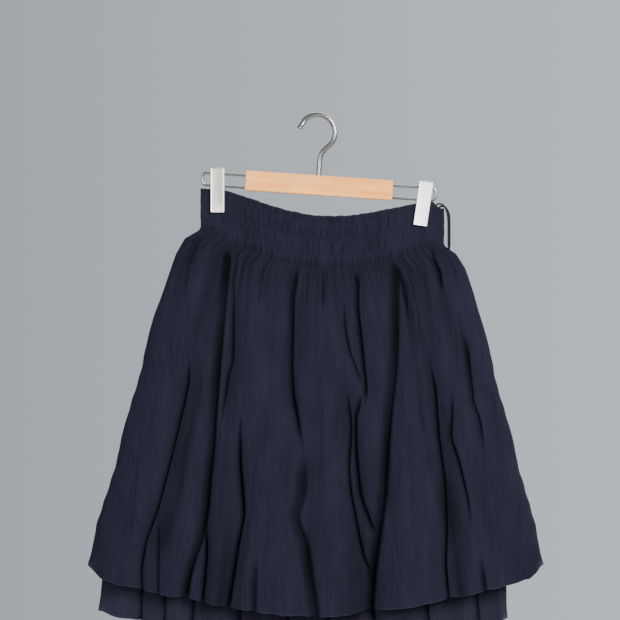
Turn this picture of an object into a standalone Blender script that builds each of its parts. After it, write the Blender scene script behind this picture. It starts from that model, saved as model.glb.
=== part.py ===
# Flared skirt in two layers of cotton gauze, with a shirred elastic waistband,
# held by the two clips of a trouser hanger with a wooden bar.
# Metres, +Z up, the front faces -Y. The origin is the crest of the hook, where it hangs.

import math
from collections import namedtuple

import bmesh
import bpy
import numpy as np
from mathutils import Matrix, Vector

# Waistband: a ruffled header and three elastic channels, measured on its inner face
BAND_HALF_WIDTH = 0.1675
BAND_CENTRE = 0.006
BAND_HEIGHT = 0.072
BAND_ROWS = (0.0, 0.010, 0.0215, 0.033, 0.0445, 0.056, 0.064, 0.072)
BAND_WALL = 0.0020
BAND_SAG = 0.0276
BAND_DROOP = 0.0065
BAND_LEFT_LIFT = 0.016
BAND_RIGHT_LIFT = 0.015
BAND_SEAM = 0.00015
GATHER_RELIEF = 0.0015
CHANNEL_PUFF = 0.0008
PINCHED_GAP = 0.0013
PINCHED_RELIEF = 0.0003

# Cloth panels of the skirt
SQUARENESS = 2.6
TURN_WEIGHT = 2.5
SIDE_SEAM = 0.00045
SEAM_GAP = 0.00055
GATHER_REACH = 0.16
HEM_DRAW = 0.25
FOLD_ROUNDING = 0.0015

# Hanger, in its own tilted frame, whose origin is the middle of the wooden bar
HANGER_CENTRE = (0.0014, 0.0, -0.0952)
HANGER_TILT = math.radians(3.9)
BAR_SIZE = (0.206, 0.013, 0.028)
BAR_ROUNDING = 0.002
WIRE_RADIUS = 0.0019
WIRE_LEVELS = (0.0070, -0.0100)
WIRE_REACH = 0.165
WIRE_INSERT = 0.030
FIT = 0.0003

HOOK_RADIUS = 0.0036
HOOK_BEND = 0.0249
HOOK_CENTRE = (-0.0010, -0.0213)
HOOK_TIP_ANGLE = math.radians(165)
HOOK_INSERT = 0.014
HOOK_FOOT = -0.0015

CLIP_SIZE = (0.019, 0.0050, 0.062)
CLIP_WALL = 0.0012
CLIP_FRONT = 0.0092
PAD_SIZE = (0.0156, 0.00365, 0.016)
PAD_INSET = 0.0020
CORE_SIZE = (0.0128, 0.0152, 0.0238)

CORD_RADIUS = 0.0012
CORD_SPACING = 0.0030

# A clip: where it grips the band's edge, the middle of its lower end, and its tilt
Clip = namedtuple("Clip", "name across top_z bottom tilt")
CLIPS = (
    Clip("left", -0.846, -0.1015, (-0.1400, -0.1330), 0.0),
    Clip("right", 0.850, -0.1197, (0.1421, -0.1512), math.radians(8.4)),
)
CLIP_REACH = 0.085
CLIP_EASE = 0.22
CLIP_HOLD = 0.63

# The rings of a layer, from under the waistband, at 0, to its hem, at 1
Ring = namedtuple("Ring", "down left right front back")
OUTER_RINGS = (
    Ring(0.000, -0.1632, 0.1750, 0.0184, 0.0164),
    Ring(0.010, -0.1655, 0.1766, 0.0187, 0.0167),
    Ring(0.035, -0.1855, 0.1925, 0.0236, 0.0192),
    Ring(0.080, -0.1975, 0.2050, 0.0270, 0.0215),
    Ring(0.160, -0.2120, 0.2185, 0.0315, 0.0243),
    Ring(0.260, -0.2275, 0.2300, 0.0354, 0.0272),
    Ring(0.370, -0.2410, 0.2425, 0.0398, 0.0299),
    Ring(0.490, -0.2560, 0.2560, 0.0442, 0.0327),
    Ring(0.620, -0.2725, 0.2715, 0.0480, 0.0353),
    Ring(0.750, -0.2890, 0.2870, 0.0520, 0.0379),
    Ring(0.880, -0.3070, 0.3020, 0.0553, 0.0404),
    Ring(1.000, -0.3215, 0.3150, 0.0584, 0.0424),
)
UNDER_RINGS = (
    Ring(0.000, -0.1606, 0.1724, 0.0160, 0.0140),
    Ring(0.012, -0.1616, 0.1734, 0.0160, 0.0140),
    Ring(0.060, -0.1830, 0.1860, 0.0165, 0.0143),
    Ring(0.200, -0.2060, 0.2070, 0.0177, 0.0150),
    Ring(0.400, -0.2340, 0.2300, 0.0199, 0.0160),
    Ring(0.600, -0.2630, 0.2470, 0.0217, 0.0170),
    Ring(0.800, -0.2920, 0.2590, 0.0234, 0.0180),
    Ring(1.000, -0.3070, 0.2650, 0.0250, 0.0190),
)

# A layer: its hem's height in the middle, the rise to its sides and corners, how much lower its
# right corner hangs, and its wall
Layer = namedtuple("Layer", "rings hem_middle hem_lift hem_corner hem_right wall gathers")
OUTER = Layer(OUTER_RINGS, -0.692, 0.056, 0.012, 0.0, 0.0012, 0.0006)
UNDER = Layer(UNDER_RINGS, -0.728, 0.038, 0.003, 0.011, 0.0010, 0.0)

# A side of a layer: the least depth that its folds leave at top and hem, and its columns
Side = namedtuple("Side", "name toward least_top least_hem columns")
OUTER_SIDES = (
    Side("outer_front", -1, 0.0182, 0.0282, 80),
    Side("outer_back", 1, 0.0162, 0.0222, 56),
)
UNDER_SIDES = (
    Side("under_front", -1, 0.0090, 0.0150, 50),
    Side("under_back", 1, 0.0075, 0.0115, 42),
)

# A half of the waistband: its half depths at the edge and at the seam, and its columns
Half = namedtuple("Half", "name toward depth_top depth_seam columns")
BAND_HALVES = (
    Half("waist_front", -1, 0.0110, 0.0170, 84),
    Half("waist_back", 1, 0.0070, 0.0150, 64),
)

# A fold is a trough from a top to a bottom height, through three places across, with its depth
# and the reach of its flanks. One that fades ends before the hem.
Fold = namedtuple("Fold", "top bottom x_top x_middle x_bottom depth reach fades")
FRONT_FOLDS = (
    Fold(-0.176, -0.665, -0.127, -0.150, -0.163, 0.026, 0.010, False),
    Fold(-0.575, -0.665, -0.160, -0.173, -0.189, 0.016, 0.007, False),
    Fold(-0.181, -0.440, -0.110, -0.124, -0.142, 0.010, 0.008, True),
    Fold(-0.320, -0.650, -0.178, -0.209, -0.252, 0.016, 0.009, False),
    Fold(-0.203, -0.500, -0.027, -0.041, -0.017, 0.020, 0.010, True),
    Fold(-0.480, -0.690, -0.022, -0.034, -0.005, 0.010, 0.016, False),
    Fold(-0.208, -0.285, 0.005, 0.0045, 0.004, 0.007, 0.005, True),
    Fold(-0.207, -0.420, 0.054, 0.053, 0.067, 0.018, 0.009, True),
    Fold(-0.395, -0.600, 0.048, 0.0535, 0.079, 0.014, 0.007, True),
    Fold(-0.375, -0.650, 0.039, 0.041, 0.070, 0.013, 0.007, True),
    Fold(-0.240, -0.365, 0.034, 0.036, 0.056, 0.008, 0.007, True),
    Fold(-0.196, -0.685, 0.106, 0.094, 0.066, 0.025, 0.010, False),
    Fold(-0.205, -0.310, 0.107, 0.115, 0.127, 0.008, 0.006, True),
    Fold(-0.178, -0.300, 0.152, 0.163, 0.174, 0.008, 0.006, True),
    Fold(-0.330, -0.665, 0.150, 0.170, 0.177, 0.016, 0.009, False),
    Fold(-0.300, -0.500, 0.186, 0.210, 0.230, 0.010, 0.009, True),
    Fold(-0.370, -0.590, 0.183, 0.190, 0.212, 0.010, 0.008, True),
    Fold(-0.350, -0.490, 0.236, 0.244, 0.256, 0.007, 0.008, True),
    Fold(-0.400, -0.678, -0.111, -0.106, -0.128, 0.021, 0.009, False),
    Fold(-0.590, -0.690, -0.088, -0.090, -0.092, 0.011, 0.010, False),
    Fold(-0.600, -0.655, 0.222, 0.225, 0.230, 0.009, 0.008, False),
    Fold(-0.540, -0.655, -0.220, -0.221, -0.222, 0.005, 0.006, False),
)
BACK_FOLDS = (
    Fold(-0.172, -0.655, -0.118, -0.165, -0.196, 0.016, 0.012, False),
    Fold(-0.190, -0.420, -0.078, -0.084, -0.100, 0.010, 0.009, True),
    Fold(-0.330, -0.680, -0.104, -0.116, -0.130, 0.014, 0.011, False),
    Fold(-0.205, -0.690, -0.030, -0.050, -0.058, 0.017, 0.012, False),
    Fold(-0.208, -0.330, 0.008, 0.006, 0.002, 0.007, 0.007, True),
    Fold(-0.300, -0.690, 0.018, 0.010, 0.026, 0.013, 0.012, False),
    Fold(-0.203, -0.560, 0.064, 0.074, 0.092, 0.015, 0.010, True),
    Fold(-0.430, -0.680, 0.128, 0.134, 0.120, 0.015, 0.011, False),
    Fold(-0.190, -0.650, 0.122, 0.172, 0.214, 0.016, 0.012, False),
    Fold(-0.300, -0.480, -0.190, -0.210, -0.226, 0.008, 0.010, True),
    Fold(-0.520, -0.640, -0.246, -0.256, -0.264, 0.009, 0.009, False),
    Fold(-0.480, -0.640, 0.238, 0.252, 0.262, 0.009, 0.010, False),
)
UNDER_FRONT_FOLDS = (
    Fold(-0.560, -0.700, -0.226, -0.240, -0.250, 0.008, 0.009, False),
    Fold(-0.600, -0.710, -0.208, -0.213, -0.217, 0.006, 0.007, False),
    Fold(-0.480, -0.715, -0.150, -0.164, -0.180, 0.008, 0.010, False),
    Fold(-0.350, -0.725, -0.088, -0.100, -0.113, 0.009, 0.012, False),
    Fold(-0.520, -0.728, -0.040, -0.041, -0.044, 0.008, 0.010, False),
    Fold(-0.300, -0.728, 0.010, 0.014, 0.011, 0.009, 0.013, False),
    Fold(-0.500, -0.725, 0.064, 0.070, 0.078, 0.007, 0.010, False),
    Fold(-0.330, -0.718, 0.110, 0.132, 0.153, 0.010, 0.011, False),
    Fold(-0.540, -0.706, 0.206, 0.215, 0.222, 0.007, 0.009, False),
    Fold(-0.600, -0.700, 0.242, 0.247, 0.251, 0.004, 0.007, False),
)
UNDER_BACK_FOLDS = (
    Fold(-0.420, -0.705, -0.190, -0.214, -0.232, 0.006, 0.010, False),
    Fold(-0.300, -0.718, -0.120, -0.140, -0.156, 0.007, 0.012, False),
    Fold(-0.380, -0.726, -0.060, -0.072, -0.080, 0.007, 0.012, False),
    Fold(-0.260, -0.728, 0.006, 0.000, -0.008, 0.007, 0.013, False),
    Fold(-0.340, -0.724, 0.066, 0.078, 0.084, 0.007, 0.012, False),
    Fold(-0.300, -0.712, 0.120, 0.146, 0.164, 0.007, 0.012, False),
    Fold(-0.460, -0.700, 0.200, 0.216, 0.226, 0.005, 0.010, False),
)

# The hanging loop's route, chosen by hand: out of the band's right end, over its edge, down and back
LOOP_ROUTE = (
    (0.1665, 0.0000, -0.1480),
    (0.1665, 0.0000, -0.1400),
    (0.1666, 0.0000, -0.1330),
    (0.1675, 0.0000, -0.1283),
    (0.1700, 0.0000, -0.1249),
    (0.1736, -0.0001, -0.1240),
    (0.1772, -0.0003, -0.1254),
    (0.1803, -0.0006, -0.1294),
    (0.1826, -0.0009, -0.1348),
    (0.1834, -0.0012, -0.1410),
    (0.1836, -0.0016, -0.1500),
    (0.1836, -0.0019, -0.1600),
    (0.1836, -0.0021, -0.1700),
    (0.1836, -0.0022, -0.1784),
    (0.1833, -0.0038, -0.1822),
    (0.1824, -0.0076, -0.1838),
    (0.1815, -0.0114, -0.1822),
    (0.1811, -0.0130, -0.1784),
    (0.1811, -0.0123, -0.1700),
    (0.1811, -0.0114, -0.1600),
    (0.1811, -0.0104, -0.1500),
    (0.1808, -0.0093, -0.1410),
    (0.1801, -0.0084, -0.1350),
    (0.1783, -0.0074, -0.1288),
    (0.1754, -0.0060, -0.1240),
    (0.1715, -0.0037, -0.1212),
    (0.1675, -0.0010, -0.1209),
    (0.1642, 0.0000, -0.1236),
    (0.1624, 0.0000, -0.1285),
    (0.1616, 0.0000, -0.1345),
    (0.1615, 0.0000, -0.1410),
    (0.1615, 0.0000, -0.1480),
)

COLOURS = {
    "gauze": ((0.021, 0.024, 0.044), 0.92, 0.0),
    "cord": ((0.006, 0.007, 0.010), 0.80, 0.0),
    "wood": ((0.72, 0.50, 0.33), 0.45, 0.0),
    "steel": ((0.62, 0.62, 0.60), 0.25, 1.0),
    "rubber": ((0.25, 0.25, 0.25), 0.80, 0.0),
}


def clear_scene():
    """Removes what a new Blender file holds."""
    for obj in list(bpy.data.objects):
        bpy.data.objects.remove(obj)


def new_collection(name):
    collection = bpy.data.collections.new(name)
    bpy.context.scene.collection.children.link(collection)
    return collection


def material(name):
    """One Principled material for each finish."""
    found = bpy.data.materials.get(name)
    if found:
        return found
    colour, roughness, metallic = COLOURS[name]
    made = bpy.data.materials.new(name)
    made.use_nodes = True
    shader = made.node_tree.nodes["Principled BSDF"]
    shader.inputs["Base Color"].default_value = (*colour, 1.0)
    shader.inputs["Roughness"].default_value = roughness
    shader.inputs["Metallic"].default_value = metallic
    return made


def ease(value):
    """0 below 0, 1 above 1, and smooth between them."""
    t = np.clip(value, 0.0, 1.0)
    return t * t * (3.0 - 2.0 * t)


def mesh_object(name, points, faces, collection, finish):
    mesh = bpy.data.meshes.new(name)
    mesh.from_pydata([tuple(p) for p in points], [], faces)
    mesh.validate()
    obj = bpy.data.objects.new(name, mesh)
    obj.data.materials.append(material(finish))
    collection.objects.link(obj)
    return obj


# Rings of the cloth


def across_ring(columns, half_width, half_depth, turn_weight):
    """Places across one side of a flattened ring, -1 to 1, and its depth there, 0 to 1.
    They lie closer together where the ring turns, by this weight."""
    angle = np.linspace(0.0, math.pi, 721)
    power = 2.0 / SQUARENESS
    u = -np.sign(np.cos(angle)) * np.abs(np.cos(angle)) ** power
    bulge = np.abs(np.sin(angle)) ** power
    steps = np.hypot(np.diff(u) * half_width, np.diff(bulge) * half_depth * turn_weight)
    length = np.concatenate([[0.0], np.cumsum(steps)])
    even = np.interp(np.linspace(0.0, length[-1], columns + 1), length, angle)
    u = -np.sign(np.cos(even)) * np.abs(np.cos(even)) ** power
    bulge = np.abs(np.sin(even)) ** power
    u[0], u[-1] = -1.0, 1.0
    bulge[0] = bulge[-1] = 0.0
    return u, bulge


def band_line(u):
    """Height of the waistband's edge between the clips, with the sag of its middle."""
    left, right = CLIPS
    run = right.across - left.across
    line = left.top_z + (u - left.across) / run * (right.top_z - left.top_z)
    middle = (left.across + right.across) / 2
    inside = np.clip(1.0 - ((u - middle) / (run / 2)) ** 2, 0.0, 1.0)
    return line - BAND_SAG * inside**1.5


def band_top(u):
    return band_line(u) - BAND_DROOP * ease((u - 0.87) / 0.13)


def band_bottom(u):
    lift = BAND_LEFT_LIFT * ease((-u - 0.66) / 0.34) + BAND_RIGHT_LIFT * ease((u - 0.66) / 0.34)
    return band_line(u) - BAND_HEIGHT + lift


def pinch(u, w):
    """1 where a clip presses the waistband flat, 0 away from it. w is 0 at the top edge."""
    hold = 1.0 - ease((w - CLIP_HOLD) / (1.0 - CLIP_HOLD))
    near = np.zeros_like(u)
    for clip in CLIPS:
        away = np.abs(u - clip.across)
        near = np.maximum(near, 1.0 - ease((away - CLIP_REACH) / CLIP_EASE))
    return near * hold


def grid_normals(grid, toward):
    """Outward normals of a grid of points, level at the two side seams."""
    along_u = np.gradient(grid, axis=1)
    along_v = np.gradient(grid, axis=0)
    normals = np.cross(along_v, along_u)
    normals /= np.linalg.norm(normals, axis=2, keepdims=True)
    outward = np.sign((normals[:, :, 1] * toward).sum())
    normals *= outward
    normals[:, 0] = (-1.0, 0.0, 0.0)
    normals[:, -1] = (1.0, 0.0, 0.0)
    return normals


def build_band(side, collection):
    """Half of the shirred waistband: a plain inside, and gathers and puffed channels outside."""
    u, bulge = across_ring(side.columns, BAND_HALF_WIDTH, side.depth_seam, 1.0)
    levels = np.array(BAND_ROWS) / BAND_HEIGHT
    inner = np.zeros((len(levels), len(u), 3))
    relief = np.zeros((len(levels), len(u)))
    ridge = np.cos(math.pi * np.arange(len(u)))
    for row, w in enumerate(levels):
        free = (side.depth_top + (side.depth_seam - side.depth_top) * w) * bulge
        held = pinch(u, w)
        depth = free - np.maximum(free - PINCHED_GAP, 0.0) * held
        inner[row, :, 0] = BAND_CENTRE + BAND_HALF_WIDTH * u
        inner[row, :, 1] = side.toward * (BAND_SEAM + depth)
        inner[row, :, 2] = band_top(u) + (band_bottom(u) - band_top(u)) * w
        on_seam = row % 2 == 1
        gather = GATHER_RELIEF * (0.5 + 0.5 * ridge) * (0.6 if on_seam else 1.0)
        puff = 0.0 if on_seam or row == 0 else CHANNEL_PUFF
        loose = gather + puff
        relief[row] = loose + (PINCHED_RELIEF - loose) * held
    relief[:, [0, -1]] *= 0.5
    outer = inner + grid_normals(inner, side.toward) * (BAND_WALL + relief)[:, :, None]
    outer[:, :, 2] = inner[:, :, 2]
    outer[:, [0, -1], 1] = side.toward * BAND_SEAM
    return build_wall(side, outer, inner, collection)


def build_wall(side, outer, inner, collection):
    """A closed wall between an outer and an inner grid of points."""
    rows, columns = outer.shape[:2]
    points = np.concatenate([outer.reshape(-1, 3), inner.reshape(-1, 3)])
    back = rows * columns

    def at(row, column, layer=0):
        return layer * back + row * columns + column

    faces = []
    for r in range(rows - 1):
        for c in range(columns - 1):
            faces.append((at(r, c), at(r + 1, c), at(r + 1, c + 1), at(r, c + 1)))
            faces.append((at(r, c, 1), at(r, c + 1, 1), at(r + 1, c + 1, 1), at(r + 1, c, 1)))
    for c in range(columns - 1):
        last = rows - 1
        faces.append((at(0, c), at(0, c + 1), at(0, c + 1, 1), at(0, c, 1)))
        faces.append((at(last, c), at(last, c, 1), at(last, c + 1, 1), at(last, c + 1)))
    for r in range(rows - 1):
        last = columns - 1
        faces.append((at(r, 0), at(r, 0, 1), at(r + 1, 0, 1), at(r + 1, 0)))
        faces.append((at(r, last), at(r + 1, last), at(r + 1, last, 1), at(r, last, 1)))
    if side.toward > 0:
        faces = [tuple(reversed(face)) for face in faces]
    return mesh_object(side.name, points, faces, collection, "gauze")


# Skirt panels


def fold_depth(x, z, folds):
    """How far the folds pull the cloth in at these places."""
    pulled = np.zeros_like(x)
    for fold in folds:
        s = (fold.top - z) / (fold.top - fold.bottom)
        t = np.clip(s, 0.0, 1.0)
        path = (
            fold.x_top * (1 - t) * (1 - 2 * t)
            + 4 * fold.x_middle * t * (1 - t)
            + fold.x_bottom * t * (2 * t - 1)
        )
        strength = ease(s / 0.22)
        if fold.fades:
            strength = strength * (1.0 - ease((s - 0.72) / 0.28))
        away = np.sqrt((x - path) ** 2 + FOLD_ROUNDING**2) - FOLD_ROUNDING
        pulled += fold.depth * strength * np.exp(-away / fold.reach)
    return pulled


def panel_grid(layer, side, folds):
    """Points of one panel, a row for each ring, from the seam under the waistband to the hem."""
    first = layer.rings[0]
    u, bulge = across_ring(side.columns, 0.25, 0.035, TURN_WEIGHT)
    top_x = (first.left + first.right) / 2 + (first.right - first.left) / 2 * u
    top = band_bottom(np.clip((top_x - BAND_CENTRE) / BAND_HALF_WIDTH, -1, 1)) - SEAM_GAP
    hem = layer.hem_middle + layer.hem_lift * np.abs(u) ** 1.6
    hem = hem + layer.hem_corner * ease((np.abs(u) - 0.93) / 0.07)
    hem = hem - layer.hem_right * ease((u - 0.3) / 0.7)
    ridge = np.cos(math.pi * np.arange(len(u)))
    inside = 1.0 - ease((np.abs(u) - 0.90) / 0.10)
    grid = np.zeros((len(layer.rings), len(u), 3))
    for row, ring in enumerate(layer.rings):
        v = ring.down
        depth = ring.front if side.toward < 0 else ring.back
        least = side.least_top + (side.least_hem - side.least_top) * v
        most = max(depth - least, 0.0002)
        x = (ring.left + ring.right) / 2 + (ring.right - ring.left) / 2 * u
        z = top + (hem - top) * v
        pulled = most * np.tanh(fold_depth(x, z, folds) / most) * inside
        gather = layer.gathers * ridge * (1 - ease(v / GATHER_REACH)) * inside
        grid[row, :, 0] = x
        grid[row, :, 1] = side.toward * (SIDE_SEAM + (depth + gather - pulled) * bulge)
        grid[row, :, 2] = z + HEM_DRAW * pulled * v**3
    return grid


def build_panel(layer, side, folds, collection):
    """A cloth panel: an open lofted surface, given its thickness by Solidify."""
    grid = panel_grid(layer, side, folds)
    rows, columns = grid.shape[:2]
    faces = []
    for r in range(rows - 1):
        for c in range(columns - 1):
            a = r * columns + c
            face = (a, a + columns, a + columns + 1, a + 1)
            faces.append(face if side.toward < 0 else tuple(reversed(face)))
    obj = mesh_object(side.name, grid.reshape(-1, 3), faces, collection, "gauze")
    solidify = obj.modifiers.new("thickness", "SOLIDIFY")
    solidify.thickness = layer.wall
    solidify.offset = 0.0
    solidify.use_even_offset = False
    return obj


# Hanger


def box_object(name, size, matrix, collection, finish, rounding=0.0):
    bm = bmesh.new()
    bmesh.ops.create_cube(bm, size=1.0, matrix=Matrix.Diagonal((*size, 1.0)))
    mesh = bpy.data.meshes.new(name)
    bm.to_mesh(mesh)
    bm.free()
    obj = bpy.data.objects.new(name, mesh)
    obj.matrix_world = matrix
    collection.objects.link(obj)
    if finish:
        obj.data.materials.append(material(finish))
    if rounding:
        bevel = obj.modifiers.new("rounding", "BEVEL")
        bevel.width = rounding
        bevel.segments = 2
    return obj


def cut_with(obj, cutter):
    cutter.hide_render = True
    cutter.display_type = "WIRE"
    boolean = obj.modifiers.new("cut_" + cutter.name, "BOOLEAN")
    boolean.operation = "DIFFERENCE"
    boolean.object = cutter


def rod_cutter(name, radius, length, matrix, collection):
    """A cylinder along its own Z, as a cutter."""
    bm = bmesh.new()
    bmesh.ops.create_cone(
        bm, cap_ends=True, segments=12, radius1=radius, radius2=radius, depth=length
    )
    mesh = bpy.data.meshes.new(name)
    bm.to_mesh(mesh)
    bm.free()
    obj = bpy.data.objects.new(name, mesh)
    obj.matrix_world = matrix
    collection.objects.link(obj)
    return obj


def tube_object(name, points, radius, resolution, collection, finish):
    """A round wire or cord along these points."""
    curve = bpy.data.curves.new(name, "CURVE")
    curve.dimensions = "3D"
    curve.bevel_depth = radius
    curve.bevel_resolution = resolution
    curve.use_fill_caps = True
    spline = curve.splines.new("POLY")
    spline.points.add(len(points) - 1)
    for slot, point in zip(spline.points, points):
        slot.co = (*point, 1.0)
    obj = bpy.data.objects.new(name, curve)
    obj.data.materials.append(material(finish))
    collection.objects.link(obj)
    return obj


def hanger_frame():
    """The matrix of the tilted hanger: its right end hangs lower."""
    return Matrix.Translation(HANGER_CENTRE) @ Matrix.Rotation(HANGER_TILT, 4, "Y")


def build_bar(collection, cutters):
    frame = hanger_frame()
    bar = box_object("bar", BAR_SIZE, frame, collection, "wood", BAR_ROUNDING)
    along = Matrix.Rotation(math.pi / 2, 4, "Y")
    for hand, sign in (("left", -1), ("right", 1)):
        for number, level in enumerate(WIRE_LEVELS):
            length = 2 * (WIRE_INSERT + FIT)
            place = Matrix.Translation((sign * BAR_SIZE[0] / 2, 0.0, level))
            name = f"wire_hole_{hand}_{number}"
            cut_with(bar, rod_cutter(name, WIRE_RADIUS + FIT, length, frame @ place @ along, cutters))
    place = Matrix.Translation((HOOK_FOOT, 0.0, BAR_SIZE[2] / 2))
    length = 2 * (HOOK_INSERT + FIT)
    cut_with(bar, rod_cutter("hook_hole", HOOK_RADIUS + FIT, length, frame @ place, cutters))


def build_wires(collection):
    """The two wire loops that carry the clips, with their legs in the bar."""
    frame = hanger_frame()
    upper, lower = WIRE_LEVELS
    bend = (upper - lower) / 2
    middle = (upper + lower) / 2
    for name, sign in (("wire_left", -1), ("wire_right", 1)):
        start = BAR_SIZE[0] / 2 - WIRE_INSERT
        turn = WIRE_REACH - bend - WIRE_RADIUS
        path = [(start, upper)]
        for step in range(9):
            angle = math.pi / 2 - math.pi * step / 8
            path.append((turn + bend * math.cos(angle), middle + bend * math.sin(angle)))
        path.append((start, lower))
        points = [frame @ Vector((sign * x, 0.0, z)) for x, z in path]
        tube_object(name, points, WIRE_RADIUS, 2, collection, "steel")


def hook_path():
    """The hook's centre line: up out of the bar, out to the right, and round over the crest."""
    frame = hanger_frame()
    foot = frame @ Vector((HOOK_FOOT, 0.0, BAR_SIZE[2] / 2 - HOOK_INSERT))
    neck = frame @ Vector((HOOK_FOOT, 0.0, BAR_SIZE[2] / 2 + 0.018))
    x, z = HOOK_CENTRE
    start = math.radians(-28)
    ring = Vector((x + HOOK_BEND * math.cos(start), 0.0, z + HOOK_BEND * math.sin(start)))
    pull_up = (neck - foot).normalized() * 0.020
    pull_back = Vector((math.sin(start), 0.0, -math.cos(start))) * 0.012
    points = [foot, neck]
    for step in range(1, 9):
        t = step / 9
        a, b, c, d = (1 - t) ** 3, 3 * t * (1 - t) ** 2, 3 * t * t * (1 - t), t**3
        points.append(a * neck + b * (neck + pull_up) + c * (ring + pull_back) + d * ring)
    arc = 20
    for step in range(arc + 1):
        angle = start + (HOOK_TIP_ANGLE - start) * step / arc
        points.append(
            Vector((x + HOOK_BEND * math.cos(angle), 0.0, z + HOOK_BEND * math.sin(angle)))
        )
    return points


def build_clip(clip, collection, cutters):
    """A clip: two pressed covers over a core that rides on the wires, and two grip pads."""
    frame = Matrix.Translation((clip.bottom[0], 0.0, clip.bottom[1]))
    frame = frame @ Matrix.Rotation(clip.tilt, 4, "Y")
    width, deep, tall = CLIP_SIZE
    for face, toward in (("front", -1), ("back", 1)):
        middle = toward * (CLIP_FRONT - deep / 2)
        name = f"clip_{clip.name}_{face}"
        place = frame @ Matrix.Translation((0.0, middle, tall / 2))
        cover = box_object(name, CLIP_SIZE, place, collection, "steel", 0.0008)
        hollow = (width - 2 * CLIP_WALL, deep, tall - 2 * CLIP_WALL)
        inside = frame @ Matrix.Translation((0.0, middle - toward * CLIP_WALL, tall / 2))
        cut_with(cover, box_object(f"hollow_{name}", hollow, inside, cutters, None))
        pad_y = toward * (CLIP_FRONT - CLIP_WALL - FIT - PAD_SIZE[1] / 2)
        at_pad = Matrix.Translation((0.0, pad_y, PAD_INSET + PAD_SIZE[2] / 2))
        box_object(f"pad_{clip.name}_{face}", PAD_SIZE, frame @ at_pad, collection, "rubber", 0.0004)
    build_core(clip, frame, collection, cutters)


def build_core(clip, frame, collection, cutters):
    """The block between the covers, with a hole for each of the two wires."""
    wires = hanger_frame()
    foot = wires.inverted() @ frame @ Vector((0.0, 0.0, 0.0))
    head = wires.inverted() @ frame @ Vector((0.0, 0.0, CLIP_SIZE[2]))
    middle = sum(WIRE_LEVELS) / 2
    along = foot.lerp(head, (middle - foot.z) / (head.z - foot.z))
    place = wires @ Matrix.Translation(along)
    core = box_object(f"core_{clip.name}", CORE_SIZE, place, collection, "steel", 0.0006)
    turn = Matrix.Rotation(math.pi / 2, 4, "Y")
    for number, level in enumerate(WIRE_LEVELS):
        at = wires @ Matrix.Translation((along.x, 0.0, level)) @ turn
        name = f"core_hole_{clip.name}_{number}"
        cut_with(core, rod_cutter(name, WIRE_RADIUS + FIT, CORE_SIZE[0] * 2, at, cutters))


# Hanging loop


def smooth_route(points, spacing):
    """Points at an even spacing along a smooth curve through the route."""
    route = [Vector(p) for p in points]
    ends = [2 * route[0] - route[1], *route, 2 * route[-1] - route[-2]]
    fine = []
    for a, b, c, d in zip(ends, ends[1:], ends[2:], ends[3:]):
        for step in range(16):
            t = step / 16
            fine.append(
                0.5
                * (
                    2 * b
                    + (c - a) * t
                    + (2 * a - 5 * b + 4 * c - d) * t * t
                    + (3 * b - a - 3 * c + d) * t**3
                )
            )
    fine.append(route[-1])
    length = [0.0]
    for a, b in zip(fine, fine[1:]):
        length.append(length[-1] + (b - a).length)
    count = round(length[-1] / spacing)
    places = np.linspace(0.0, length[-1], count + 1)
    axes = [np.interp(places, length, [p[i] for p in fine]) for i in range(3)]
    return [Vector(p) for p in zip(*axes)]


def main():
    clear_scene()
    skirt = new_collection("flared_skirt")
    cutters = new_collection("cutters")
    for side in BAND_HALVES:
        build_band(side, skirt)
    for side, folds in zip(OUTER_SIDES, (FRONT_FOLDS, BACK_FOLDS)):
        build_panel(OUTER, side, folds, skirt)
    for side, folds in zip(UNDER_SIDES, (UNDER_FRONT_FOLDS, UNDER_BACK_FOLDS)):
        build_panel(UNDER, side, folds, skirt)
    build_bar(skirt, cutters)
    build_wires(skirt)
    tube_object("hook", hook_path(), HOOK_RADIUS, 3, skirt, "steel")
    for clip in CLIPS:
        build_clip(clip, skirt, cutters)
    route = smooth_route(LOOP_ROUTE, CORD_SPACING)
    tube_object("hanging_loop", route, CORD_RADIUS, 2, skirt, "cord")


main()
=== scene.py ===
import math
from collections import namedtuple

import bmesh
import bpy
import numpy as np
from mathutils import Matrix, Vector


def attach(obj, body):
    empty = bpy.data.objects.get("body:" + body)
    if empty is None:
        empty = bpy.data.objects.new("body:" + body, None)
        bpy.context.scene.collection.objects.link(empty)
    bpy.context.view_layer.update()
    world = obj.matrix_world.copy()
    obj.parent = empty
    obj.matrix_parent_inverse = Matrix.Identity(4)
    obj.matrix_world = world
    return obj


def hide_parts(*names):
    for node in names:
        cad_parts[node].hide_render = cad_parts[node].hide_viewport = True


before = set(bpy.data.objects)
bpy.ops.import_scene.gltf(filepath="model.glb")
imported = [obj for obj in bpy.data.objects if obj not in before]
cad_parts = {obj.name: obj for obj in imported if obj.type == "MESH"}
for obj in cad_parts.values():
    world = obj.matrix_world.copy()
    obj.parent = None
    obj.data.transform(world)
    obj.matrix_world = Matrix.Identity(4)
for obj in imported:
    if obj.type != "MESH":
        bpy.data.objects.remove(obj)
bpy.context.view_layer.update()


# The view. The camera stands level with the upper half of the skirt and looks straight at its
# front through a long lens. The studio is plain: pale grey all round, a pale floor below, and
# a large soft light at the right of the camera with a weaker one at its left.
VIEW_WIDTH = 0.861
VIEW_MIDDLE = Vector((-0.0112, -0.02, -0.2688))
LENS = 200.0
SENSOR = 36.0
WALL_LEFT = (0.405, 0.455, 0.497)
WALL_RIGHT = (0.64, 0.695, 0.75)
FLOOR_HEIGHT = -1.75
FLOOR_RADIUS = 5.3


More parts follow.
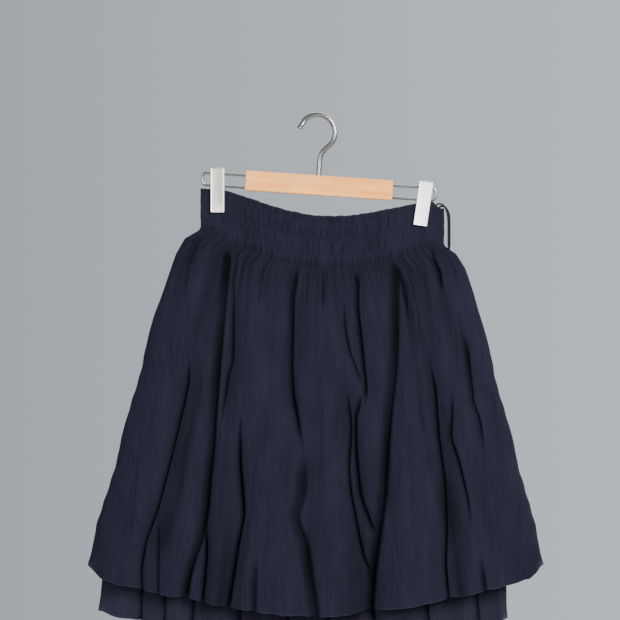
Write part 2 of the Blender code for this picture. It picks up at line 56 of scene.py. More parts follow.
def add_node(tree, kind, inputs=None, **settings):
    """A node with its settings, its values, and links from the sockets that are given."""
    made = tree.nodes.new(kind)
    for key, value in settings.items():
        setattr(made, key, value)
    for key, value in (inputs or {}).items():
        if isinstance(value, bpy.types.NodeSocket):
            tree.links.new(value, made.inputs[key])
        else:
            made.inputs[key].default_value = value
    return made


def new_finish(name, roughness, metallic=0.0):
    """A material with its tree, its shader, and the shader's plain values."""
    finish = bpy.data.materials.new(name)
    finish.use_nodes = True
    shader = finish.node_tree.nodes["Principled BSDF"]
    shader.inputs["Roughness"].default_value = roughness
    shader.inputs["Metallic"].default_value = metallic
    return finish, finish.node_tree, shader


def feed(shader, name, socket):
    """A link into one of the shader's inputs."""
    shader.id_data.links.new(socket, shader.inputs[name])


def stretched_noise(tree, place, scale, detail=2.0, rough=0.5, distortion=0.0):
    """Noise whose grain is drawn out along one direction of the piece."""
    mapping = add_node(tree, "ShaderNodeMapping", {"Vector": place, "Scale": scale})
    return add_node(
        tree,
        "ShaderNodeTexNoise",
        {
            "Vector": mapping.outputs["Vector"],
            "Scale": 1.0,
            "Detail": detail,
            "Roughness": rough,
            "Distortion": distortion,
        },
    ).outputs["Fac"]


def ramp(tree, source, low, high, to_low=0.0, to_high=1.0):
    """A value taken from one range to another, and held inside it."""
    return add_node(
        tree,
        "ShaderNodeMapRange",
        {"Value": source, "From Min": low, "From Max": high, "To Min": to_low, "To Max": to_high},
    ).outputs["Result"]


def blend_colours(tree, factor, first, second):
    mix = add_node(tree, "ShaderNodeMix", {"Factor": factor}, data_type="RGBA")
    for number, colour in ((6, first), (7, second)):
        if isinstance(colour, bpy.types.NodeSocket):
            tree.links.new(colour, mix.inputs[number])
        else:
            mix.inputs[number].default_value = (*colour, 1.0)
    return mix.outputs[2]


def bump(tree, height, distance, strength=1.0, under=None):
    inputs = {"Height": height, "Distance": distance, "Strength": strength}
    if under is not None:
        inputs["Normal"] = under
    return add_node(tree, "ShaderNodeBump", inputs).outputs["Normal"]


camera = bpy.data.objects.new("camera", bpy.data.cameras.new("camera"))
camera.data.lens = LENS
camera.data.sensor_width = SENSOR
camera.location = VIEW_MIDDLE - Vector((0.0, VIEW_WIDTH * LENS / SENSOR, 0.0))
camera.rotation_euler = (math.pi / 2, 0.0, 0.0)
bpy.context.scene.collection.objects.link(camera)
bpy.context.scene.camera = camera

studio = bpy.data.worlds.new("studio")
studio.use_nodes = True
studio_tree = studio.node_tree
direction = add_node(studio_tree, "ShaderNodeTexCoord").outputs["Generated"]
sideways = add_node(studio_tree, "ShaderNodeSeparateXYZ", {"Vector": direction}).outputs["X"]
studio_colour = blend_colours(
    studio_tree, ramp(studio_tree, sideways, -0.107, 0.107), WALL_LEFT, WALL_RIGHT
)
backdrop = studio_tree.nodes["Background"]
studio_tree.links.new(studio_colour, backdrop.inputs["Color"])
backdrop.inputs["Strength"].default_value = 1.0
bpy.context.scene.world = studio


def soft_light(name, place, target, width, height, power, colour):
    lamp = bpy.data.lights.new(name, "AREA")
    lamp.shape = "RECTANGLE"
    lamp.size = width
    lamp.size_y = height
    lamp.energy = power
    lamp.color = colour
    obj = bpy.data.objects.new(name, lamp)
    obj.location = place
    obj.rotation_euler = (Vector(target) - Vector(place)).to_track_quat("-Z", "Y").to_euler()
    bpy.context.scene.collection.objects.link(obj)


soft_light("window", (1.35, -2.45, 0.75), (0.0, 0.0, -0.35), 1.3, 1.5, 165.0, (1.0, 0.98, 0.95))
soft_light("fill", (-1.6, -2.4, 0.1), (0.0, 0.0, -0.4), 1.4, 1.4, 40.0, (1.0, 0.93, 0.95))
soft_light("back_fill", (0.6, 2.8, 1.2), (0.0, 0.0, -0.3), 2.0, 2.0, 80.0, (1.0, 1.0, 1.0))

floor_mesh = bpy.data.meshes.new("studio_floor")
rim = [i * math.tau / 96 for i in range(96)]
floor_mesh.from_pydata(
    [(FLOOR_RADIUS * math.cos(a), FLOOR_RADIUS * math.sin(a), FLOOR_HEIGHT) for a in rim],
    [],
    [tuple(range(96))],
)
studio_floor = bpy.data.objects.new("studio_floor", floor_mesh)
bpy.context.scene.collection.objects.link(studio_floor)
floor_finish, floor_tree, floor_shader = new_finish("pale_floor", 0.85)
floor_place = add_node(floor_tree, "ShaderNodeTexCoord").outputs["Object"]
floor_tone = stretched_noise(floor_tree, floor_place, (0.8, 0.8, 0.8), 3.0)
feed(
    floor_shader,
    "Base Color",
    blend_colours(floor_tree, floor_tone, (0.52, 0.53, 0.54), (0.6, 0.61, 0.62)),
)
floor_mesh.materials.append(floor_finish)


# The hanging loop: a black braided cord sewn into the right end of the waistband. It comes out
# of the band's top, hangs down beside it in two strands, and goes back into the band.
CORD_RADIUS = 0.0012
LOOP_ROUTE = [
    tuple(n / 1000 for n in point)
    for point in (
        (166.5, 0, -148), (166.5, 0, -140), (166.6, 0, -133), (167.5, 0, -128.3), (170, 0, -124.9),
        (173.6, -0.1, -124), (177.2, -0.3, -125.4), (180.3, -0.6, -129.4), (182.6, -0.9, -134.8),
        (183.4, -1.2, -141), (183.6, -1.6, -150), (183.6, -1.9, -160), (183.6, -2.1, -170),
        (183.6, -2.2, -178.4), (183.3, -3.8, -182.2), (182.4, -7.6, -183.8),
        (181.5, -11.4, -182.2), (181.1, -13, -178.4), (181.1, -12.3, -170), (181.1, -11.4, -160),
        (181.1, -10.4, -150), (180.8, -9.3, -141), (180.1, -8.4, -135), (178.3, -7.4, -128.8),
        (175.4, -6, -124), (171.5, -3.7, -121.2), (167.5, -1, -120.9), (164.2, 0, -123.6),
        (162.4, 0, -128.5), (161.6, 0, -134.5), (161.5, 0, -141), (161.5, 0, -148),
    )
]


def smooth_route(points, spacing):
    """Points at an even spacing along a smooth curve through the route."""
    route = np.array(points, float)
    ends = np.vstack([2 * route[0] - route[1], route, 2 * route[-1] - route[-2]])
    fine = []
    for a, b, c, d in zip(ends, ends[1:], ends[2:], ends[3:]):
        for t in np.arange(16) / 16:
            square = 2 * a - 5 * b + 4 * c - d
            cube = 3 * b - a - 3 * c + d
            fine.append(0.5 * (2 * b + (c - a) * t + square * t * t + cube * t**3))
    fine.append(route[-1])
    fine = np.array(fine)
    steps = np.linalg.norm(np.diff(fine, axis=0), axis=1)
    length = np.concatenate([[0.0], np.cumsum(steps)])
    places = np.linspace(0.0, length[-1], round(length[-1] / spacing) + 1)
    return np.stack([np.interp(places, length, fine[:, i]) for i in range(3)], axis=1)


def show(name, points, faces, finish, uv=None, smooth=True):
    """A mesh piece in place, with its faces smooth and its own map in metres."""
    mesh = bpy.data.meshes.new(name)
    mesh.from_pydata([tuple(map(float, p)) for p in points], [], faces)
    mesh.materials.append(finish)
    mesh.polygons.foreach_set("use_smooth", [smooth] * len(mesh.polygons))
    if uv is not None:
        corners = np.zeros(len(mesh.loops), np.int32)
        mesh.loops.foreach_get("vertex_index", corners)
        layer = mesh.uv_layers.new(name="cloth")
        layer.data.foreach_set("uv", np.asarray(uv, np.float32)[corners].ravel())
    obj = bpy.data.objects.new(name, mesh)
    bpy.context.scene.collection.objects.link(obj)
    return obj


def settle(obj, node=None):
    """The piece rides with the body and stands for its CAD node, which it hides."""
    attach(obj, "root")
    if node:
        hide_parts(node)


def round_rod(name, points, radii, around, finish, twist=0.0):
    """A round cord or wire along points, closed at both ends, with a map round it and along it."""
    points = np.asarray(points, float)
    radii = np.broadcast_to(radii, len(points))
    along = np.gradient(points, axis=0)
    along /= np.linalg.norm(along, axis=1, keepdims=True)
    side = np.cross(along[0], (0.0, 1.0, 0.0))
    if np.linalg.norm(side) < 0.1:
        side = np.cross(along[0], (1.0, 0.0, 0.0))
    run = np.concatenate([[0.0], np.cumsum(np.linalg.norm(np.diff(points, axis=0), axis=1))])
    rings, uv = [], []
    angles = np.arange(around) / around * math.tau
    for point, forward, radius, length in zip(points, along, radii, run):
        side = side - forward * np.dot(side, forward)
        side = side / np.linalg.norm(side)
        other = np.cross(forward, side)
        turn = angles + twist * length
        ring = np.outer(np.cos(turn), side) + np.outer(np.sin(turn), other)
        rings.append(point + radius * ring)
        uv.extend((a * radius, length) for a in angles)
    vertices = np.vstack([*rings, points[:1], points[-1:]])
    uv.extend([(0.0, 0.0), (0.0, run[-1])])
    faces = []
    for ring in range(len(points) - 1):
        for k in range(around):
            a = ring * around + k
            b = ring * around + (k + 1) % around
            faces.append((a, b, b + around, a + around))
    first, last = len(vertices) - 2, len(vertices) - 1
    end = (len(points) - 1) * around
    for k in range(around):
        faces.append((first, (k + 1) % around, k))
        faces.append((last, end + k, end + (k + 1) % around))
    return show(name, vertices, faces, finish, uv)


CORD_TONES = ((0.002, 0.0022, 0.0028), (0.008, 0.0084, 0.0105))
cord_finish, cord_tree, cord_shader = new_finish("black_braid", 0.72)
cord_shader.inputs["Sheen Weight"].default_value = 0.05
cord_shader.inputs["Specular IOR Level"].default_value = 0.2
cord_uv = add_node(cord_tree, "ShaderNodeUVMap", uv_map="cloth").outputs["UV"]
strands = []
for lean in (0.9, -0.9):
    turned = add_node(
        cord_tree, "ShaderNodeMapping", {"Vector": cord_uv, "Rotation": (0.0, 0.0, lean)}
    )
    wave = add_node(
        cord_tree,
        "ShaderNodeTexWave",
        {"Vector": turned.outputs["Vector"], "Scale": 420.0, "Distortion": 0.6, "Detail": 1.0},
    )
    strands.append(wave.outputs["Fac"])
braid = add_node(
    cord_tree, "ShaderNodeMath", {0: strands[0], 1: strands[1]}, operation="MAXIMUM"
).outputs["Value"]
cord_fuzz = stretched_noise(cord_tree, cord_uv, (3000.0, 1200.0, 1.0), 2.0)
cord_tone = add_node(cord_tree, "ShaderNodeMath", {0: braid, 1: cord_fuzz}, operation="MULTIPLY")
feed(cord_shader, "Base Color", blend_colours(cord_tree, cord_tone.outputs["Value"], *CORD_TONES))
feed(cord_shader, "Normal", bump(cord_tree, braid, 0.00025, 0.9))

loop_points = smooth_route(LOOP_ROUTE, 0.001)
hanging_cord = round_rod("hanging_cord", loop_points, CORD_RADIUS, 12, cord_finish)
settle(hanging_cord, "hanging_loop")


# The waistband: one strip of the gauze folded double over two rows of elastic, so it shirrs into
# fine uneven gathers. A ruffled header stands over the upper row. It is sewn as a front and a
# back half, which meet at the side seams, and the clips press it flat near its two ends.
BAND_HALF_WIDTH = 0.1675
BAND_CENTRE = 0.006
BAND_HEIGHT = 0.072
BAND_SAG = 0.0276
BAND_DROOP = 0.0065
BAND_LEFT_LIFT = 0.016
BAND_RIGHT_LIFT = 0.015
BAND_SEAM = 0.00015
BAND_WALL = 0.0012
PINCHED_WALL = 0.0022
PINCHED_GAP = 0.0013
CHANNEL_EDGES = (0.0, 0.01, 0.033, 0.056, 0.072)
CHANNEL_PUFF = (0.0004, 0.0014, 0.0014, 0.0006)
GATHER_WIDTHS = (0.0034, 0.008)
GATHER_HEIGHT = 0.0022
GATHER_FADES = (0.04, 0.075, 0.16, 0.26)
GATHER_SHARES = (0.4, 0.3, 0.2, 0.1)
SQUARENESS = 2.6
BAND_ROWS = 49
CORNER_RISE = 0.004
CORNER_PLACE = 0.922
CORNER_SPREAD = 0.026
HEADER_FLARE = 0.0016
HEADER_WAVE = 0.0018
SEAM_DRAW = 0.0032
SEAM_SHADE = 0.22
CASING_SHADE = 0.22
CLOSE_FOLDS = (0.0024, 0.0046)
WIDE_FOLDS = (0.007, 0.015)
CLOSE_SHARE = 0.55
SHARP_EDGE = math.radians(65)
CLIP_PLACES = ((-0.846, -0.1015), (0.85, -0.1197))
CLIP_REACH = 0.085
CLIP_EASE = 0.22
CLIP_HOLD = 0.63
Half = namedtuple("Half", "name node toward depth_top depth_seam columns seed gathers flat_width")
BAND_HALVES = (
    Half("waistband_front", "waist_front", -1, 0.011, 0.017, 640, 11, 30, 0.64),
    Half("waistband_back", "waist_back", 1, 0.007, 0.015, 520, 12, 31, 0.64),
)


def ease(value):
    """0 below 0, 1 above 1, and smooth between them."""
    t = np.clip(value, 0.0, 1.0)
    return t * t * (3.0 - 2.0 * t)


def across_ring(columns, half_width, half_depth, turn_weight):
    """Places across one side of a flattened ring, -1 to 1, and its depth there, 0 to 1."""
    angle = np.linspace(0.0, math.pi, 4001)
    power = 2.0 / SQUARENESS
    u = -np.sign(np.cos(angle)) * np.abs(np.cos(angle)) ** power
    bulge = np.abs(np.sin(angle)) ** power
    steps = np.hypot(np.diff(u) * half_width, np.diff(bulge) * half_depth * turn_weight)
    length = np.concatenate([[0.0], np.cumsum(steps)])
    even = np.interp(np.linspace(0.0, length[-1], columns + 1), length, angle)
    u = -np.sign(np.cos(even)) * np.abs(np.cos(even)) ** power
    bulge = np.abs(np.sin(even)) ** power
    u[0], u[-1] = -1.0, 1.0
    bulge[0] = bulge[-1] = 0.0
    return u, bulge


def band_line(u):
    """Height of the waistband's edge between the clips, with the sag of its middle."""
    (left, left_z), (right, right_z) = CLIP_PLACES
    run = right - left
    line = left_z + (u - left) / run * (right_z - left_z)
    inside = np.clip(1.0 - ((u - (left + right) / 2) / (run / 2)) ** 2, 0.0, 1.0)
    return line - BAND_SAG * inside**1.5


def band_bottom(u):
    lift = BAND_LEFT_LIFT * ease((-u - 0.66) / 0.34) + BAND_RIGHT_LIFT * ease((u - 0.66) / 0.34)
    return band_line(u) - BAND_HEIGHT + lift


def pinch(u, w):
    """1 where a clip presses the waistband flat, 0 away from it. w is 0 at the top edge."""
    hold = 1.0 - ease((w - CLIP_HOLD) / (1.0 - CLIP_HOLD))
    near = np.zeros_like(u)
    for across, _ in CLIP_PLACES:
        near = np.maximum(near, 1.0 - ease((np.abs(u - across) - CLIP_REACH) / CLIP_EASE))
    return near * hold


def gather_rows(run, seed, rows):
    """Rounded gathers of uneven width with sharp valleys, drifting a little from row to row."""
    rng = np.random.default_rng(seed)
    edges = np.concatenate([[0.0], np.cumsum(rng.uniform(*GATHER_WIDTHS, 400))])
    edges = edges[edges < run[-1] + 0.02]
    heights = rng.uniform(0.45, 1.0, (rows, len(edges)))
    found = []
    for row in range(rows):
        moved = np.sort(edges + rng.normal(0.0, 0.0008, len(edges)))
        index = np.clip(np.searchsorted(moved, run) - 1, 0, len(moved) - 2)
        part = (run - moved[index]) / np.maximum(moved[index + 1] - moved[index], 0.0008)
        part = np.clip(part, 0.0, 1.0)
        round_top = (1.0 - np.abs(2.0 * part - 1.0) ** 2.4) ** 0.8
        found.append(round_top * heights[row][index])
    return np.array(found)


def casing_folds(run, down, seed):
    """Short sharp folds in uneven clusters along each casing: 1 down in a fold, 0 off it."""
    rng = np.random.default_rng(seed)
    made = np.zeros((len(down), len(run)))
    for low, high in zip(CHANNEL_EDGES, CHANNEL_EDGES[1:]):
        tall = high - low
        place = 0.0
        while place < run[-1]:
            step = CLOSE_FOLDS if rng.random() < CLOSE_SHARE else WIDE_FOLDS
            place += rng.uniform(*step)
            middle = low + tall * rng.uniform(0.3, 0.7)
            half = tall * rng.uniform(0.3, 0.62)
            along = np.clip(1.0 - ((down - middle) / half) ** 2, 0.0, 1.0) ** 0.7
            lean = rng.normal(0.0, 0.07) * (down - middle)
            width = rng.uniform(0.0007, 0.0014)
            fold = np.exp(-(((run[None, :] - place - lean[:, None]) / width) ** 2))
            made = np.maximum(made, rng.uniform(0.35, 1.0) * along[:, None] * fold)
    return made


def seam_gathers(u, v, half_width, seed):
    """The gathers caught in the waistband's lower seam, which die away down the skirt."""
    rng = np.random.default_rng(seed)
    places = -1.0 + np.cumsum(rng.uniform(0.0042, 0.01, 90)) / BAND_HALF_WIDTH
    made = np.zeros_like(u)
    for place in places[places < 0.99]:
        depth = rng.uniform(0.001, 0.0032)
        fade = rng.choice(GATHER_FADES, p=GATHER_SHARES) * rng.uniform(0.7, 1.3)
        width = rng.uniform(0.0013, 0.0024)
        away = (u - place - rng.normal(0.0, 0.03) * v) * half_width
        swell = width * (1.0 + 5.0 * v)
        made -= depth * np.exp(-((away / swell) ** 2)) * np.exp(-((v / fade) ** 1.5))
    return made


def grid_normals(grid, toward):
    """Outward normals of a grid of points, level at the two side seams."""
    normals = np.cross(np.gradient(grid, axis=0), np.gradient(grid, axis=1))
    normals /= np.maximum(np.linalg.norm(normals, axis=2, keepdims=True), 1e-9)
    normals *= np.sign((normals[:, :, 1] * toward).sum())
    normals[:, 0] = (-1.0, 0.0, 0.0)
    normals[:, -1] = (1.0, 0.0, 0.0)
    return normals


def cloth_wall(name, outer, inner, toward, finish, uv):
    """A closed wall of cloth between an outer and an inner grid of points."""
    rows, columns = outer.shape[:2]
    points = np.concatenate([outer.reshape(-1, 3), inner.reshape(-1, 3)])
    index = np.arange(rows * columns).reshape(rows, columns)
    back = index + rows * columns

    def quads(a, b, c, d):
        return np.stack([a, b, c, d], axis=-1).reshape(-1, 4)

    faces = np.concatenate(
        [
            quads(index[:-1, :-1], index[1:, :-1], index[1:, 1:], index[:-1, 1:]),
            quads(back[:-1, :-1], back[:-1, 1:], back[1:, 1:], back[1:, :-1]),
            quads(index[0, :-1], index[0, 1:], back[0, 1:], back[0, :-1]),
            quads(index[-1, :-1], back[-1, :-1], back[-1, 1:], index[-1, 1:]),
            quads(index[:-1, 0], back[:-1, 0], back[1:, 0], index[1:, 0]),
            quads(index[:-1, -1], index[1:, -1], back[1:, -1], back[:-1, -1]),
        ]
    )
    if toward > 0:
        faces = faces[:, ::-1]
    both = np.concatenate([uv.reshape(-1, 2), uv.reshape(-1, 2)])
    obj = show(name, points, faces.tolist(), finish, both)
    obj.data.set_sharp_from_angle(angle=SHARP_EDGE)
    return obj


def mark(obj, name, values):
    """A value at each point of both faces of the cloth, for its finish to read."""
    layer = obj.data.attributes.new(name, "FLOAT", "POINT")
    layer.data.foreach_set("value", np.tile(values.ravel(), 2).astype(np.float32))


def gauze_finish(name, dark, light):
    """Navy cotton gauze: slubs and crinkle run down the cloth, over an open plain weave."""
    finish, tree, shader = new_finish(name, 0.92)
    shader.inputs["Sheen Weight"].default_value = 0.04
    shader.inputs["Sheen Roughness"].default_value = 0.5
    shader.inputs["Sheen Tint"].default_value = (0.55, 0.62, 0.95, 1.0)
    shader.inputs["Specular IOR Level"].default_value = 0.07
    cloth = add_node(tree, "ShaderNodeUVMap", uv_map="cloth").outputs["UV"]
    slub = stretched_noise(tree, cloth, (700.0, 34.0, 1.0), 3.0, 0.6)
    crease = stretched_noise(tree, cloth, (190.0, 32.0, 1.0), 4.0, 0.6, 0.35)
    mottle = stretched_noise(tree, cloth, (26.0, 15.0, 1.0), 3.0, 0.6)
    picks = stretched_noise(tree, cloth, (40.0, 1100.0, 1.0), 2.0)
    streak = stretched_noise(tree, cloth, (62.0, 11.0, 1.0), 3.0, 0.55, 0.5)
    tone = add_node(tree, "ShaderNodeMath", {0: slub, 1: 0.26, 2: 0.0}, operation="MULTIPLY_ADD")
    for part, share in ((crease, 0.22), (mottle, 0.26), (streak, 0.2), (picks, 0.1)):
        tone = add_node(
            tree,
            "ShaderNodeMath",
            {0: part, 1: share, 2: tone.outputs["Value"]},
            operation="MULTIPLY_ADD",
        )
    factor = ramp(tree, tone.outputs["Value"], 0.34, 0.66)
    colour = blend_colours(tree, factor, dark, light)
    # Paler where the mesh marks wear on the hem's edge; painted glints at the hem's corners and a
    # painted highlight on the band's top edge.
    wear_and_glint = add_node(tree, "ShaderNodeAttribute", attribute_name="wear_and_glint").outputs["Fac"]
    colour = blend_colours(tree, wear_and_glint, colour, (0.05, 0.055, 0.075))
    # Painted shade: near black where the mesh marks slit bottoms, gather valleys, a slit's shaded
    # flank and the strip under the band.
    painted_shade = add_node(tree, "ShaderNodeAttribute", attribute_name="painted_shade").outputs["Fac"]
    colour = blend_colours(tree, painted_shade, colour, (0.0002, 0.0002, 0.0006))
    feed(shader, "Base Color", colour)
    feed(shader, "Roughness", ramp(tree, slub, 0.3, 0.7, 0.86, 0.97))
    threads = []
    for turn in (0.0, math.pi / 2):
        turned = add_node(
            tree, "ShaderNodeMapping", {"Vector": cloth, "Rotation": (0.0, 0.0, turn)}
        ).outputs["Vector"]
        wave = add_node(
            tree,
            "ShaderNodeTexWave",
            {"Vector": turned, "Scale": 330.0, "Distortion": 1.2, "Detail": 1.0},
        )
        threads.append(wave.outputs["Fac"])
    weave = add_node(
        tree, "ShaderNodeMath", {0: threads[0], 1: threads[1]}, operation="MULTIPLY"
    ).outputs["Value"]
    normal = bump(tree, streak, 0.005, 0.6)
    normal = bump(tree, crease, 0.0022, 0.6, normal)
    normal = bump(tree, slub, 0.0005, 0.8, normal)
    normal = bump(tree, weave, 0.0001, 0.6, normal)
    feed(shader, "Normal", normal)
    return finish


gauze = gauze_finish("navy_gauze", (0.0054, 0.0057, 0.0126), (0.0136, 0.0138, 0.0252))


def build_band(half):
    """Half of the waistband, with the rows of its casings for the stitches."""
    u, bulge = across_ring(half.columns, BAND_HALF_WIDTH, half.depth_seam, 1.0)
    w = np.linspace(0.0, 1.0, BAND_ROWS)
    down = w * BAND_HEIGHT
    run = np.concatenate(
        [[0.0], np.cumsum(np.hypot(np.diff(u) * BAND_HALF_WIDTH, np.diff(bulge) * 0.016))]
    )
    gathers = gather_rows(run, half.seed, len(CHANNEL_EDGES))
    seam = seam_gathers(u, np.zeros_like(u), BAND_HALF_WIDTH, half.gathers)
    drawn = np.clip(-seam / SEAM_DRAW, 0.0, 1.0)
    ruffle = gather_rows(run * 0.45, half.seed + 50, 1)[0]
    folds = casing_folds(run, down, half.seed + 70)
    quiet = 1.0 - ease((np.abs(u) - 0.94) / 0.06)
    inner = np.zeros((BAND_ROWS, len(u), 3))
    relief = np.zeros((BAND_ROWS, len(u)))
    valley_shade = np.zeros((BAND_ROWS, len(u)))
    held = np.array([pinch(u, level) for level in w])
    for row, level in enumerate(w):
        free = (half.depth_top + (half.depth_seam - half.depth_top) * level) * bulge
        depth = free - np.maximum(free - PINCHED_GAP, 0.0) * held[row]
        top = band_line(u) - BAND_DROOP * ease((u - 0.87) / 0.13)
        rise = np.exp(-(((u - CORNER_PLACE) / CORNER_SPREAD) ** 2))
        top = top + CORNER_RISE * rise * (1.0 - level)
        flare = ease(1.0 - down[row] / 0.01) * (ruffle - 0.5) * quiet * (1.0 - held[row])
        inner[row, :, 0] = BAND_CENTRE + BAND_HALF_WIDTH * u
        inner[row, :, 1] = half.toward * (BAND_SEAM + depth + HEADER_FLARE * flare * bulge)
        inner[row, :, 2] = top + (band_bottom(u) - top) * level + HEADER_WAVE * flare
        for channel in range(4):
            low, high = CHANNEL_EDGES[channel], CHANNEL_EDGES[channel + 1]
            if low <= down[row] <= high:
                part = (down[row] - low) / (high - low)
                if channel < 3:
                    arch = math.sin(math.pi * part) ** 0.6 if channel else 1.0 - 0.6 * part**3
                    mixed = gathers[channel] * (1 - part) + gathers[channel + 1] * part
                    fold = 0.28 * (1.0 - mixed) + 0.72 * folds[row]
                    shade = fold * (0.16 + 0.42 * arch)
                else:
                    # The solid is taller than the real band: this strip reads as the skirt's top
                    arch = 0.4 * math.sin(math.pi * part) ** 0.6
                    begun = ease(part / 0.45)
                    fading = folds[row] * (1.0 - part)
                    fold = drawn * begun + 0.4 * fading
                    shade = 0.45 * drawn * begun + 0.12 * fading + SEAM_SHADE * ease(part)
                height = GATHER_HEIGHT * (0.35 + 0.65 * arch)
                relief[row] = CHANNEL_PUFF[channel] * arch
                relief[row] += height * (1.0 - np.minimum(fold, 1.0)) * quiet
                relief[row] += 0.5 * height * (1.0 - quiet)
                # Painted shade in the valleys between the gathers, and along the casing seams.
                valley_shade[row] = shade * quiet
                if low < down[row] < low + 0.0016 and channel:
                    valley_shade[row] = np.maximum(valley_shade[row], CASING_SHADE)
    loose = BAND_WALL + relief
    wall = loose + (PINCHED_WALL + 0.0002 * gathers[2] - loose) * held
    wall[:, [0, -1]] *= 0.5
    normals = grid_normals(inner, half.toward)
    outer = inner + normals * wall[:, :, None]
    outer[:, :, 2] = inner[:, :, 2] + 0.0008 * (w[:, None] < 0.01) * gathers[0]
    outer[:, [0, -1], 1] = half.toward * BAND_SEAM
    inner -= normals * (0.0007 * gathers[1] * quiet * (1.0 - held) * bulge)[:, :, None]
    inner[:, [0, -1], 1] = half.toward * BAND_SEAM
    spread = half.flat_width / (2 * BAND_HALF_WIDTH)
    flat = np.stack(np.broadcast_arrays(run[None, :] * spread, -down[:, None]), axis=-1)
    obj = cloth_wall(half.name, outer, inner, half.toward, gauze, flat)
    mark(obj, "painted_shade", np.clip(valley_shade * (1.0 - 0.7 * held), 0.0, 0.9))
    # A painted highlight along the header's top edge.
    mark(obj, "wear_and_glint", (w[:, None] < 0.01) * (0.12 + 0.25 * ruffle))
    settle(obj, half.node)
    return obj, outer, normals, down


band_pieces = [build_band(half) for half in BAND_HALVES]


# The over-skirt: a front and a back panel of the gauze, flared, gathered onto the waistband and
# joined at the side seams. It hangs in broad flutes with narrow deep slits between them, and its
# hem is turned twice and sewn.
SIDE_SEAM = 0.00045
SEAM_TUCK = 0.003
GAUZE_THICKNESS = 0.0006
HEM_TURN = 0.007
HEM_DRAW = 0.2
SLIT_FLOOR = 0.002
UNDER_RELIEF = 0.001
Ring = namedtuple("Ring", "down left right front back")
OVER_RINGS = (
    Ring(0.0, -0.1632, 0.175, 0.0184, 0.0164),
    Ring(0.01, -0.1655, 0.1766, 0.0187, 0.0167),
    Ring(0.035, -0.1855, 0.1925, 0.0236, 0.0192),
    Ring(0.08, -0.1975, 0.205, 0.027, 0.0215),
    Ring(0.16, -0.212, 0.2185, 0.0315, 0.0243),
    Ring(0.26, -0.2275, 0.23, 0.0354, 0.0272),
    Ring(0.37, -0.241, 0.2425, 0.0398, 0.0299),
    Ring(0.49, -0.256, 0.256, 0.0442, 0.0327),
    Ring(0.62, -0.2725, 0.2715, 0.048, 0.0353),
    Ring(0.75, -0.289, 0.287, 0.052, 0.0379),
    Ring(0.88, -0.307, 0.302, 0.0553, 0.0404),
    Ring(1.0, -0.3215, 0.315, 0.0584, 0.0424),
)
# A hem: its height in the middle, the rise to its sides and at its corners, and how much lower
# its right corner hangs. Then how far the layer falls in under the waist seam
Layer = namedtuple("Layer", "rings hem_middle hem_lift hem_corner hem_right inward")
OVER_LAYER = Layer(OVER_RINGS, -0.692, 0.056, 0.012, 0.0, 0.0)

# A slit between two flutes, in millimetres: its path down the cloth, its depth, its half width, the
# reach of its flanks, how far its bottom leans under the next flute, and where it fades in and out
# The sign of the lean also picks the flank that gets painted shade.
Slit = namedtuple("Slit", "path depth width reach lean fade_in fade_out")
OVER_FRONT_SLITS = (
    Slit(((-126, -176), (-134, -252), (-141, -329), (-147, -405), (-150, -463), (-155, -507),
         (-157, -543), (-164, -584), (-178, -620), (-187, -665)), 34, 4.6, 13, 6, 30, 0),
    Slit(((-157, -560), (-156, -616), (-162, -680)), 22, 2.4, 6, -3, 40, 0),
    Slit(((-109, -181), (-120, -227), (-120, -339), (-127, -360), (-138, -434)), 13, 2.2, 7, 3, 30,
         60),
    Slit(((-179, -332), (-182, -367), (-190, -405), (-206, -472), (-224, -543), (-241, -588),
         (-248, -629), (-246, -665)), 22, 1.8, 9, 6, 50, 0),
    Slit(((-29, -203), (-38, -252), (-40, -342), (-38, -386), (-29, -431), (-20, -476)), 26, 3, 12,
         5, 30, 80),
    Slit(((-22, -455), (-24, -521), (-35, -556), (-20, -595), (-6, -690)), 12, 6, 18, 3, 60, 0),
    Slit(((6, -208), (5, -280)), 9, 1.6, 6, 2, 16, 40),
    Slit(((54, -207), (52, -265), (56, -300), (64, -382), (62, -400)), 20, 2.6, 9, 4, 30, 20),
    Slit(((62, -378), (49, -416), (50, -463), (56, -524), (78, -590)), 18, 2.4, 8, 4, 30, 20),
    Slit(((35, -250), (35, -293), (42, -329), (62, -381)), 9, 1.8, 7, 3, 40, 20),
    Slit(((40, -375), (43, -441), (40, -479), (42, -518), (59, -606), (69, -637), (68, -690)), 17,
         1.8, 8, -4, 50, 0),
    Slit(((106, -193), (104, -255), (104, -302), (102, -350), (95, -413), (91, -469), (88, -526),
         (80, -582), (73, -637), (69, -690)), 33, 5, 14, 6, 30, 0),
    Slit(((108, -205), (119, -252), (126, -297)), 10, 1.8, 7, 3, 20, 50),
    Slit(((158, -176), (160, -197), (168, -217), (172, -250)), 11, 2, 7, 3, 16, 30),
    Slit(((152, -335), (160, -375), (164, -445), (173, -507), (175, -574), (173, -619),
         (178, -680)), 22, 2, 10, 5, 60, 0),
    Slit(((194, -280), (204, -322), (212, -398), (221, -421), (228, -485)), 13, 3, 11, 4, 60, 60),
    Slit(((185, -370), (181, -445), (192, -477), (204, -529), (212, -580)), 13, 2.2, 10, 4, 50,
         60),
    Slit(((239, -365), (247, -421), (253, -450)), 9, 2.6, 10, 3, 40, 50),
    Slit(((-109, -405), (-111, -476), (-105, -550), (-113, -592), (-128, -690)), 26, 2.8, 11, 5,
         80, 0),
    Slit(((-88, -600), (-91, -692)), 10, 4, 12, 2, 60, 0),
    Slit(((222, -605), (230, -665)), 10, 3, 9, 2, 40, 0),
    Slit(((-222, -545), (-223, -665)), 7, 2, 8, 2, 50, 0),
)
